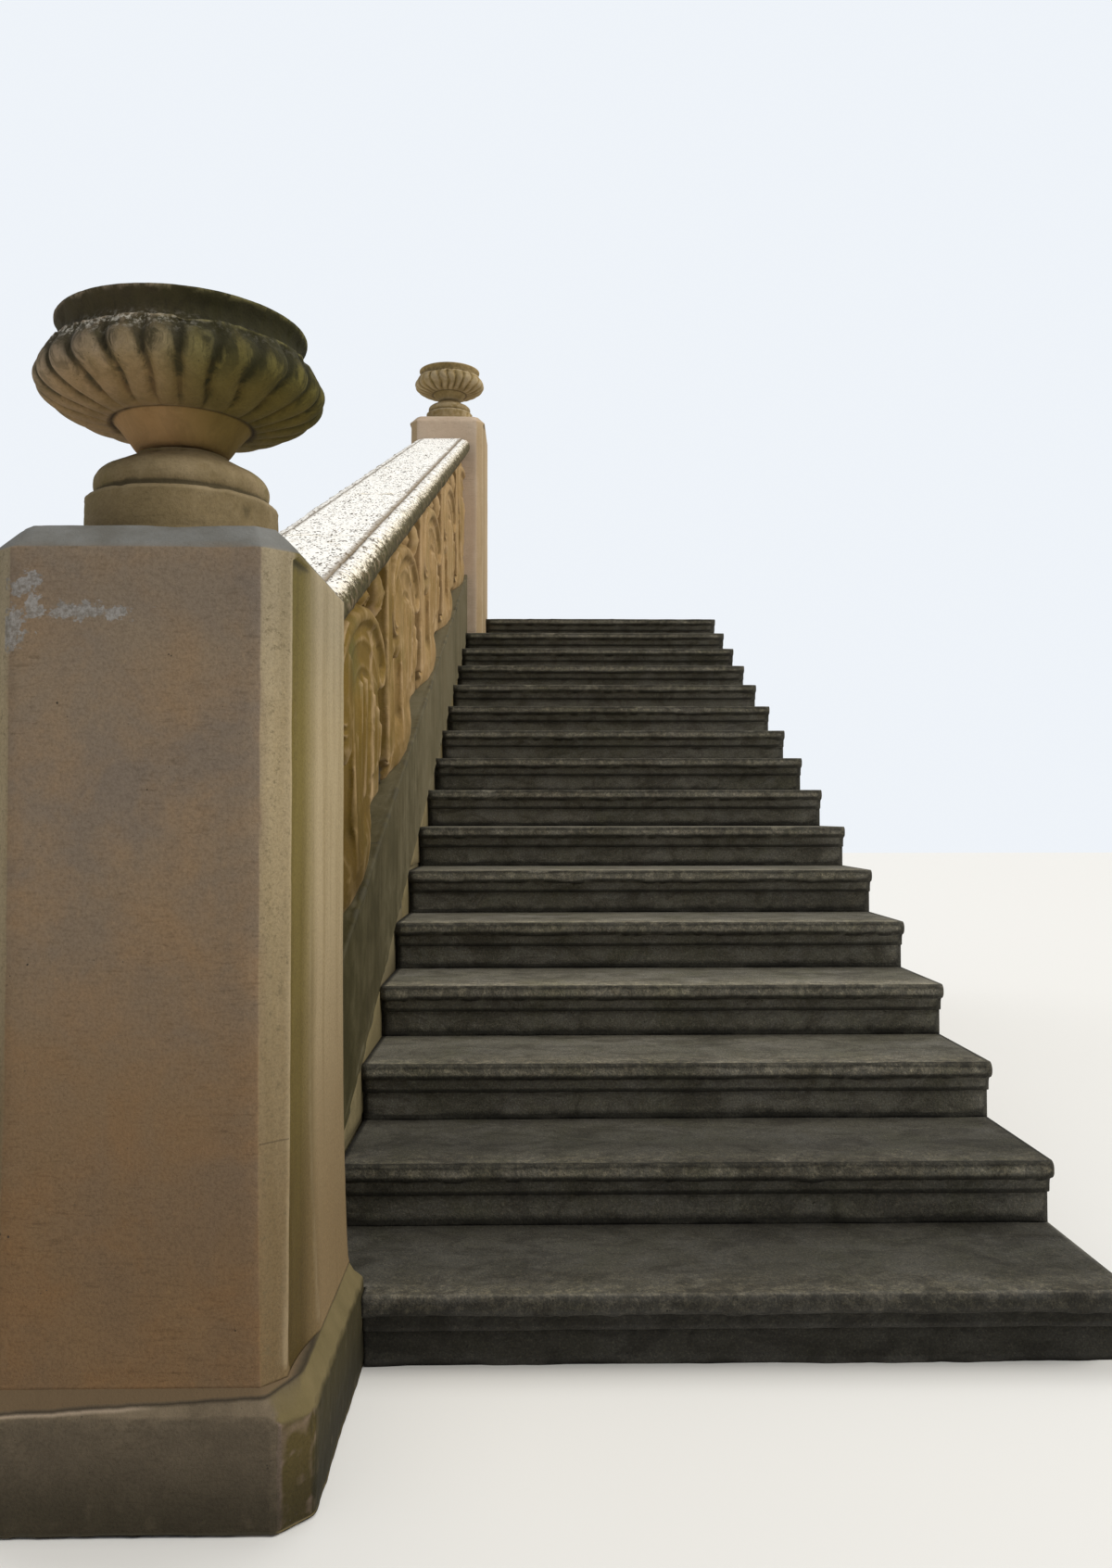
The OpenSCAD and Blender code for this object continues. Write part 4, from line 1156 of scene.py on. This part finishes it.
def make_urn(which, seed, around, step):
    foot_low, foot_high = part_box(which + "_urn_foot")
    bowl_low, bowl_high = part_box(which + "_urn_bowl")
    centre = ((foot_low.x + foot_high.x) / 2, (foot_low.y + foot_high.y) / 2, foot_low.z)
    unit = (foot_high.x - foot_low.x) / 2 / URN_DRUM
    h = URN_HEIGHT
    drum, neck_z, cup_z, collar = (h * s for s in (0.214, 0.435, 0.573, 0.865))
    foot = [(0.02, 0), (URN_DRUM, 0), (URN_DRUM, drum - 0.006), (URN_DRUM - 0.006, drum),
            (URN_FOOT - 0.006, drum), (URN_FOOT - 0.005, drum + 0.003)]
    bell = [(URN_FOOT - 0.002, 0.245), (URN_FOOT, 0.27), (URN_FOOT - 0.001, 0.3), (URN_FOOT - 0.007, 0.33),
            (URN_FOOT - 0.019, 0.355), (URN_FOOT - 0.036, 0.377), (URN_NECK + 0.02, 0.4),
            (URN_NECK + 0.007, 0.418)]
    foot += [(r, z) for r, z in smooth_line([(r, h * s) for r, s in bell], 0.004)]
    foot = dense(foot + [(URN_NECK, neck_z), (0.02, neck_z)], 0.006)
    obj = revolve("worn_" + which + "_urn_foot", foot, max(96, around // 2))
    weather(obj, np.ones(len(obj.data.vertices)), seed, roll=0.0025, chip=0.007, chip_scale=22,
            chip_from=0.2)
    set_points(obj, points_of(obj) * unit + centre)
    mark_relief(obj, 10, 0.003)
    finish_piece(obj, which + "_urn_foot", foot_stone if which == "lower" else upper_urn_stone)

    big, rim = URN_BOWL, URN_RIM
    cup = URN_NECK + 0.032
    under = smooth_line([(0.02, neck_z), (URN_NECK, neck_z), (URN_NECK + 0.003, neck_z + 0.008),
                         (URN_NECK + 0.014, neck_z + 0.024), (cup, cup_z - 0.003)], step)
    fair = smooth_line([(cup, cup_z - 0.002), (cup + 0.006, cup_z - 0.006), (big * 0.65, cup_z),
                         (big * 0.78, cup_z + 0.01), (big * 0.9, cup_z + 0.026), (big * 0.97, cup_z + 0.04),
                         (big, cup_z + 0.055), (big * 0.99, cup_z + 0.068), (big * 0.95, cup_z + 0.084),
                         (rim + 0.006, collar)], step)
    lobed = [(r + (big - fair[:, 0].max()) * min(1.0, (r - cup) / (big - cup)), z) for r, z in fair]
    inner = smooth_line([(rim - URN_LIP, h - 0.003), (rim - URN_LIP - 0.002, h - URN_DEPTH * 0.35),
                         (rim * 0.78, h - URN_DEPTH * 0.72), (rim * 0.45, h - URN_DEPTH),
                         (0.01, h - URN_DEPTH)], 2 * step)
    wall = smooth_line([(rim - 0.001, collar + 0.001), (rim - 0.009, collar + 0.01),
                        (rim - 0.012, collar + 0.02),
                        (rim - 0.009, h - 0.018), (rim - 0.001, h - 0.008)], step)
    collar_line = list(wall) + [(rim, h - 0.005), (rim, h - 0.001), (rim - 0.003, h),
                                (rim - 0.013, h)] + list(inner)
    rows = [(r, z) for r, z in under]
    count = len(lobed)
    turn_share = np.arange(around) / around * LOBES
    own = np.array([0.45 + 0.75 * tone_of(k, seed, 61)
                    for k in range(LOBES)])[np.round(turn_share).astype(int) % LOBES]
    for k, (r, z) in enumerate(lobed):
        s = k / (count - 1)

        def ring(a, r=r, s=s):
            return r - LOBE_DEPTH * lobe_share(s) * own * lobe_valley(a, s, seed)

        rows.append((ring, z))
    rows.extend((r, z) for r, z in collar_line)
    obj = revolve("worn_" + which + "_urn_bowl", rows, around)
    co, no = points_of(obj), normals_of(obj)
    level = co[:, 2]
    high = clamp((level - cup_z - 0.05) / 0.06)
    brow = peak(level - collar + 0.006, 0.01)
    worn = 0.0006 * (fbm(co, 9, 3, seed) - 1) - high * 0.003 * clamp(fbm(co, 70, 3, seed + 3))
    worn -= (0.002 * high + 0.009 * brow) * clamp(fbm(co, 34, 3, seed + 8) + 0.1)
    place = np.concatenate([np.zeros(len(under)), np.linspace(0, 1, count), np.ones(len(collar_line))])
    place = np.repeat(place, around)
    groove = lobe_valley(np.arctan2(co[:, 1], co[:, 0]), place, seed) * clamp(12 * place)
    # seam: a shallow groove where the lobes leave the cup; its dark line in urn_marks is painted shade.
    seam = peak(place - 0.03, 0.02) * (place > 0)
    worn -= 0.009 * groove * clamp(3.5 * place) * clamp((0.65 - place) / 0.3) + 0.003 * seam
    worn *= np.clip((h - level) / 0.006, 0.25, 1)
    climb = clamp((level - cup_z - 0.02) / (collar - cup_z - 0.02))
    soot = climb * (level > cup_z) * (0.8 + 0.7 * groove) + 0.8 * clamp((level - collar) / 0.01)
    soot += 0.8 * groove ** 2 * clamp(0.1 + 1.8
                                      * place) * (place < 1) * np.clip(1 + 1.6 * fbm(co, 12, 3, seed + 5),
                                                                       0.2, 1)
    bare = np.maximum(clamp(1 - 14 * place), 0.4 * clamp((cup_z + 0.045 - level) / 0.03))
    co = (co + no * worn[:, None]) * unit + centre
    set_points(obj, co)
    mark_relief(obj, 10, 0.004)
    add_attribute(obj, "soot", soot)
    add_attribute(obj, "cup", bare)
    add_attribute(obj, "seam", seam)
    add_attribute(obj, "brow", peak(level - collar + 0.008, 0.014))
    finish_piece(obj, which + "_urn_bowl", urn_stone if which == "lower" else upper_urn_stone)


# Handrail stones: one section swept up the rake
def rail_section(half, thick):
    """Half outline from the middle of the underside to the middle of the top, mirrored into a closed
    section."""
    level = thick - RAIL_ROLL - 0.006
    arc = [math.radians(a) for a in np.linspace(-100, 118, 24)]
    side = [(0.0, 0.0), (0.04, 0.0), (0.09, 0.0), (half - RAIL_ROLL - 0.012, 0.0),
            (half - RAIL_ROLL, 0.004)]
    side += [(half - RAIL_ROLL + RAIL_ROLL * math.cos(a), level + RAIL_ROLL * math.sin(a)) for a in arc]
    side += [(RAIL_FLAT + 0.002, thick - 0.012), (RAIL_FLAT - 0.003, thick - 0.003)]
    side += [(x, thick - 0.001) for x in np.linspace(RAIL_FLAT - 0.01, 0, 14)]
    other = [(-x, n) for x, n in reversed(side[1:-1])]
    return np.array(side + other)


def make_rail(bay, low, high, spacing):
    half = (high.x - low.x) / 2
    length = high.y - low.y
    thick = (high.z - low.z - length * SLOPE) * math.cos(RAKE)
    section = rail_section(half - 0.001, thick)
    seam = peak(np.abs(section[:, 0]) - RAIL_FLAT, 0.004) * (section[:, 1] > thick - 0.02)
    ys = np.linspace(low.y + 0.0003, high.y - 0.0003, int(length / spacing) + 1)
    across, up = MIDDLE + section[:, 0], section[:, 1] / math.cos(RAKE)
    obj = tube(f"worn_handrail_{bay}", [
        np.stack([across, np.full(len(section), y), low.z + (y - low.y) * SLOPE + up], 1) for y in ys])
    co, no = points_of(obj), normals_of(obj)
    worn = 0.002 * (fbm(co, 7, 3, 40) - 1) + 0.0016 * (fbm(co, 70, 2, 41) - 1)
    pit = clamp(fbm(co, 55, 2, 42) - 0.25)
    worn = worn - 0.009 * pit
    ends = np.minimum(co[:, 1] - low.y, high.y - co[:, 1])
    way = np.where((ends < 0.001)[:, None], no * (1, 0, 1), no)
    co = co + way * worn[:, None]
    co[:, 1] = np.clip(co[:, 1], low.y + 0.0003, high.y - 0.0003)
    set_points(obj, co)
    add_attribute(obj, "groove", np.tile(seam, len(ys)))
    mark_relief(obj, 8, 0.004)
    add_attribute(obj, "hollow", values_of(obj, "hollow") * clamp(ends / 0.02 - 0.3))
    finish_piece(obj, f"handrail_{bay}", rail_stone)


# String stones
def make_string(bay, low, high):
    length = high.y - low.y
    depth = (high.z - low.z) - length * SLOPE
    corners = [(low.x, 0), (high.x, 0), (high.x, depth), (low.x, depth)]
    plan = [along_side(np.linalg.norm(np.subtract(corners[(i + 1) % 4], corners[i])), 0.03)
            for i in range(4)]
    ring, edge = rounded(corners, plan, 0.005)
    ys = np.concatenate([[0.001, 0.004], np.linspace(0.012, length - 0.012, 44),
                         [length - 0.004, length - 0.001]])
    obj = tube(f"worn_string_{bay}", [
        np.stack([ring[:, 0], np.full(len(ring), low.y + y), low.z + y * SLOPE + ring[:, 1]], 1)
        for y in ys])
    weather(obj, peak(np.tile(edge, len(ys)), 0.011), 70 + bay, roll=0.0012, chip=0.01)
    co = points_of(obj)
    co[:, 1] = np.clip(co[:, 1], low.y + 0.0005, high.y - 0.0005)
    set_points(obj, co)
    mark_relief(obj, 8, 0.003)
    finish_piece(obj, f"string_{bay}", string_stone)


# Step stones: riser, hollow, roll and tread swept across the flight
def step_section(low, high, riser_y):
    roll = NOSING_ROLL / 2
    front = low.y
    roll_y, fillet_y = front + roll, riser_y - NOSING_FILLET
    hollow_top = high.z - NOSING_ROLL - 0.002
    hollow_foot = hollow_top - 0.7 * NOSING_HOLLOW
    section = [(riser_y, low.z), (riser_y, low.z + 0.003), (riser_y, low.z + 0.007)]
    section += [(riser_y, z) for z in np.linspace(low.z + 0.014, hollow_top - NOSING_HOLLOW - 0.006, 5)]
    section += [(riser_y, hollow_top - NOSING_HOLLOW - 0.003),
                (fillet_y + 0.002, hollow_top - NOSING_HOLLOW - 0.001)]
    section += [(fillet_y, hollow_top - NOSING_HOLLOW + 0.002), (fillet_y, hollow_foot - 0.001)]
    for k in range(6):
        a = math.pi / 2 * (1 - k / 5)
        section.append((fillet_y - (fillet_y - roll_y) * (1 - math.sin(a)) * 0.8,
                        hollow_top - (hollow_top - hollow_foot) * (1 - math.cos(a))))
    for k in range(13):
        a = math.radians(-90 - 180 * k / 12)
        section.append((roll_y + roll * math.cos(a), high.z - roll + roll * math.sin(a)))
    rear = high.y - roll_y
    tread = [0.008, 0.02, 0.035, 0.055, 0.08, 0.11, 0.15, 0.2, 0.25, 0.3, 0.34, 0.37]
    section += [(roll_y + s, high.z) for s in tread if s < rear - 0.012]
    section += [(high.y - 0.008, high.z), (high.y - 0.001, high.z), (high.y, high.z - 0.001),
                (high.y, high.z - 0.01)]
    section += [(high.y, (low.z + high.z) / 2), (high.y, low.z), ((high.y + riser_y) / 2, low.z)]
    return np.array(section)


def make_step(k):
    low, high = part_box(f"step_{k}")
    first_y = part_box("step_1")[0].y + NOSING_OUT
    riser_y = low.y + NOSING_OUT if k > 1 else max(first_y, low.y + NOSING_OUT)
    section = step_section(low, high, riser_y)
    spacing = 0.009 + 0.0015 * k
    xs = np.linspace(low.x + 0.0005, high.x, int((high.x - low.x) / spacing))
    obj = tube(f"worn_step_{k}", [np.column_stack([np.full(len(section), x), section]) for x in xs])
    co, no = points_of(obj), normals_of(obj)
    nose = peak(co[:, 1] - low.y - 0.01, 0.03) * clamp((co[:, 2] - high.z + 0.05) / 0.02)
    worn = 0.0015 * (fbm(co, 6, 3, 90 + k) - 1) + 0.0008 * (fbm(co, 60, 2, 91) - 1)
    worn = worn - nose * (0.004 * clamp(fbm(co, 5, 2, 92 + k) + 0.3) + 0.012
                          * clamp(fbm(co, 22, 3, 93 + k) - 0.18))
    foot = peak(co[:, 2] - low.z, 0.006) * (co[:, 1] < riser_y + 0.004)
    worn = worn - 0.014 * foot * clamp(fbm(co * (1, 1, 0.2), 7, 4, 94 + k) - 0.02)
    ends = clamp(np.minimum(co[:, 0] - low.x, high.x - co[:, 0]) / 0.004)
    co = co + no * (worn * (0.3 + 0.7 * ends))[:, None]
    co[:, 0] = np.clip(co[:, 0], low.x, high.x)
    co[:, 1] = np.clip(co[:, 1], low.y, high.y)
    co[:, 2] = np.clip(co[:, 2], low.z, high.z)
    set_points(obj, co)
    ragged = clamp(4 * fbm(co * (1, 1, 0.2), 11, 4, 97 + k) + 0.5)
    add_attribute(obj, "joint", peak(co[:, 2] - low.z, 0.007) * (co[:, 1] < riser_y + 0.004) * ragged)
    add_attribute(obj, "nose", peak(co[:, 1] - low.y, 0.09) * clamp((co[:, 2] - high.z + 0.04) / 0.02))
    if k == 1:
        cut_box(obj, (0, riser_y - 0.1, -0.1), (PLINTH_HIGH.x - 0.003, PLINTH_HIGH.y - 0.003, 0.3))
    mark_relief(obj, 8, 0.003)
    finish_piece(obj, f"step_{k}", step_stone)


# Walling: squared stones with mortar between them
def clip_half(points, normal, distance):
    """Keeps the part of a convex outline where normal . p <= distance."""
    out = []
    for a, b in zip(points, points[1:] + points[:1]):
        da = normal[0] * a[0] + normal[1] * a[1] - distance
        db = normal[0] * b[0] + normal[1] * b[1] - distance
        if da <= 0:
            out.append(a)
        if (da < 0 < db) or (db < 0 < da):
            t = da / (da - db)
            out.append((a[0] + (b[0] - a[0]) * t, a[1] + (b[1] - a[1]) * t))
    return out


class Walling:
    """Gathers rough stones, each a prism across X over a convex outline in (Y, Z), and the mortar
    behind them."""

    def __init__(self):
        self.verts, self.faces, self.tones = [], [], []

    def prism(self, outline, x0, x1, tone, bevel, seed, rough):
        outline = np.array(outline)
        area = 0.5 * np.sum(outline[:, 0] * np.roll(outline[:, 1], -1) - np.roll(outline[:, 0], -1)
                            * outline[:, 1])
        if abs(area) < 0.0012:
            return
        if area < 0:
            outline = outline[::-1]
        count = len(outline)
        sizes = [np.linalg.norm(outline[(i + 1) % count] - outline[i]) for i in range(count)]
        if min(sizes) < 0.02:
            return
        plan = [np.linspace(0, s, max(2, int(s / 0.07) + 1)) for s in sizes]
        rings = []
        inner = [0.6, 0.25]
        base, _ = rounded(inset(outline, bevel), plan, 0.008)
        middle = base.mean(0)
        for s in reversed(inner):
            rings.append((x0, middle + (base - middle) * s))
        rings.append((x0, base))
        full, _ = rounded(outline, plan, 0.01)
        for x in np.linspace(x0 + bevel, x1 - bevel, max(2, int((x1 - x0) / 0.12) + 1)):
            rings.append((x, full))
        rings.append((x1, base))
        for s in inner:
            rings.append((x1, middle + (base - middle) * s))
        start = len(self.verts)
        points = np.concatenate([np.column_stack([np.full(len(r), x), r]) for x, r in rings])
        centre = points.mean(0)
        away = points - centre
        away /= np.linalg.norm(away, axis=1)[:, None]
        points = points - away * (rough * (0.5 + 0.5 * fbm(points, 9, 3, seed)))[:, None]
        self.verts.extend(map(tuple, points))
        self.faces.extend(tuple(start + i for i in f) for f in tube_faces(len(rings), len(full)))
        self.tones.extend([tone] * len(points))

    def mortar(self, outline, x0, x1):
        start = len(self.verts)
        count = len(outline)
        self.verts.extend([(x, y, z) for x in (x0, x1) for y, z in outline])
        self.faces.extend((start + i, start + (i + 1) % count, start + count + (i + 1) % count, start
                           + count + i)
                          for i in range(count))
        self.faces.append(tuple(start + i for i in range(count))[::-1])
        self.faces.append(tuple(start + count + i for i in range(count)))
        self.tones.extend([-1.0] * (2 * count))

    def piece(self, node, material):
        obj = build_object("laid_" + node, self.verts, self.faces)
        face_outwards(obj.data)
        add_attribute(obj, "stone_tone", self.tones)
        finish_piece(obj, node, material)


def tone_of(a, b, seed):
    return float(lattice(np.array([a]), np.array([b]), np.array([0]), seed)[0]) * 0.5 + 0.5


def course_cuts(start, end, size, course, seed):
    """Where the upright joints of one course lie, broken over those of the course below."""
    cuts = [start]
    y = start + size * (0.5 if course % 2 else 1.0)
    k = 0
    while y < end - 0.3 * size:
        cuts.append(y)
        k += 1
        y += size * (0.85 + 0.3 * tone_of(course, k, seed))
    return cuts + [end]


def make_string_wall():
    low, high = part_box("string_wall")
    w = Walling()
    string_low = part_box("string_1")[0]
    top = [(low.y, string_low.z), (high.y, string_low.z + (high.y - low.y) * SLOPE)]
    limit = -SLOPE * low.y + string_low.z
    w.mortar([(low.y, 0), (high.y, 0), top[1], top[0]], low.x + RECESS, high.x - RECESS)
    course, z = 0, 0.0
    while z < high.z:
        cuts = course_cuts(low.y, high.y, 0.52, course, 3)
        for k, (a, b) in enumerate(zip(cuts[:-1], cuts[1:])):
            box = square(a + GAP, b - GAP, z + GAP, z + COURSE - GAP)
            box = clip_half(box, (-SLOPE, 1), limit - GAP)
            if len(box) >= 3:
                w.prism(box, low.x, high.x, tone_of(course, k, 7), 0.008, 11, 0.005)
        z += COURSE
        course += 1
    w.piece("string_wall", rendered)


def make_upper_pier():
    low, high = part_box("upper_pier")
    w = Walling()
    w.mortar(square(low.y + RECESS, high.y - RECESS, 0, high.z), low.x + RECESS, high.x - RECESS)
    courses = max(1, round((high.z - low.z) / COURSE))
    tall = (high.z - low.z) / courses
    for course in range(courses):
        z = course * tall
        middle = low.y + (high.y - low.y) * (0.62 if course % 2 else 0.38)
        for k, (a, b) in enumerate(((low.y, middle), (middle, high.y))):
            near = GAP if k else 0.0
            far = 0.0 if k else GAP
            box = square(a + near, b - far, z + GAP, z + tall - GAP)
            w.prism(box, low.x, high.x, tone_of(course, k, 17), 0.008, 23, 0.005)
    w.piece("upper_pier", walling)


def make_stair_core():
    low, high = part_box("stair_core")
    w = Walling()
    deep = 0.22
    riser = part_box("step_1")[1].z
    fronts = [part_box(f"step_{k}")[1].y for k in range(1, STEPS)]
    for course, front in enumerate(fronts):
        z = course * riser
        w.mortar(square(front, high.y - RECESS, z, z + riser), low.x, high.x - RECESS)
        cuts = course_cuts(front, high.y - deep, 0.46, course, 29) if high.y - deep > front + 0.1 else []
        for k, (a, b) in enumerate(zip(cuts[:-1], cuts[1:])):
            box = square(a + GAP, b - GAP, z + GAP, z + riser - GAP)
            w.prism(box, high.x - deep, high.x, tone_of(course, k, 31), 0.007, 37, 0.004)
        across = course_cuts(low.x, high.x, 0.42, course, 41)
        back = max(high.y - deep, front)
        for k, (a, b) in enumerate(zip(across[:-1], across[1:])):
            box = square(back + GAP, high.y, z + GAP, z + riser - GAP)
            last = k == len(across) - 2
            w.prism(box, a + GAP, b if last else b - GAP, tone_of(course, k, 43), 0.007, 47, 0.004)
    w.piece("stair_core", walling)


make_plinth()
make_die("lower_die", DIE_LOW, DIE_HIGH, FLARE, 21, pedestal_stone, 0.0105)
make_die("upper_die", UPPER_LOW, UPPER_HIGH, 0.0, 27, upper_stone, 0.016)
make_urn("lower", 51, LOBES * 13, 0.0052)
make_urn("upper", 57, LOBES * 8, 0.008)
for number in range(1, BAYS + 1):
    make_rail(number, *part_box(f"handrail_{number}"), 0.006 if number == 1 else 0.014)
    make_string(number, *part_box(f"string_{number}"))
for number in range(1, STEPS + 1):
    make_step(number)
make_string_wall()
make_upper_pier()
make_stair_core()


# Scene
def make_stage():
    bpy.ops.mesh.primitive_plane_add(size=60, location=(0, 0, 0))
    floor = bpy.context.object
    floor.name = "floor"
    n = Nodes("floor")
    n.close((0.78, 0.77, 0.75), 0.9)
    floor.data.materials.append(n.material)
    world = bpy.data.worlds.new("studio")
    bpy.context.scene.world = world
    world.use_nodes = True
    tree = world.node_tree
    tree.nodes.clear()
    out = tree.nodes.new("ShaderNodeOutputWorld")
    light = tree.nodes.new("ShaderNodeBackground")
    seen = tree.nodes.new("ShaderNodeBackground")
    mix = tree.nodes.new("ShaderNodeMixShader")
    path = tree.nodes.new("ShaderNodeLightPath")
    light.inputs[0].default_value = (0.93, 0.96, 1.0, 1)
    light.inputs[1].default_value = 0.4
    seen.inputs[0].default_value = (0.86, 0.9, 0.95, 1)
    seen.inputs[1].default_value = 1.0
    tree.links.new(path.outputs["Is Camera Ray"], mix.inputs[0])
    tree.links.new(light.outputs[0], mix.inputs[1])
    tree.links.new(seen.outputs[0], mix.inputs[2])
    tree.links.new(mix.outputs[0], out.inputs[0])


def add_sun(name, way, strength, color):
    """A wide soft lamp far away, in the direction given."""
    data = bpy.data.lights.new(name, "SUN")
    data.energy = strength
    data.angle = math.radians(35)
    data.color = color
    new_object(name, data).rotation_euler = Vector(way).to_track_quat("Z", "Y").to_euler()


def make_camera():
    yaw, pitch, roll = (math.radians(a) for a in CAMERA_TURN)
    forward = Vector((math.sin(yaw) * math.cos(pitch), math.cos(yaw) * math.cos(pitch), math.sin(pitch)))
    right = Vector((math.cos(yaw), -math.sin(yaw), 0))
    up = right.cross(forward)
    right, up = (math.cos(roll) * right + math.sin(roll) * up, math.cos(roll) * up - math.sin(roll) * right)
    data = bpy.data.cameras.new("camera")
    data.sensor_fit = "HORIZONTAL"
    data.sensor_width = 36
    data.lens = CAMERA_LENS
    data.clip_start = 0.05
    data.clip_end = 100
    camera = new_object("camera", data)
    turned = Matrix((right, up, -forward)).transposed().to_4x4()
    turned.translation = Vector(CAMERA_PLACE)
    camera.matrix_world = turned
    bpy.context.scene.camera = camera


make_stage()
add_sun("key", (0.7, -0.2, 0.68), 2.4, (1.0, 0.97, 0.9))
add_sun("fill", (-0.55, 0.5, 0.67), 0.4, (0.95, 0.97, 1.0))
add_sun("sky", (0.05, 0.3, 0.95), 0.7, (1.0, 0.99, 0.96))
make_camera()
bpy.context.scene.view_settings.view_transform = "Standard"
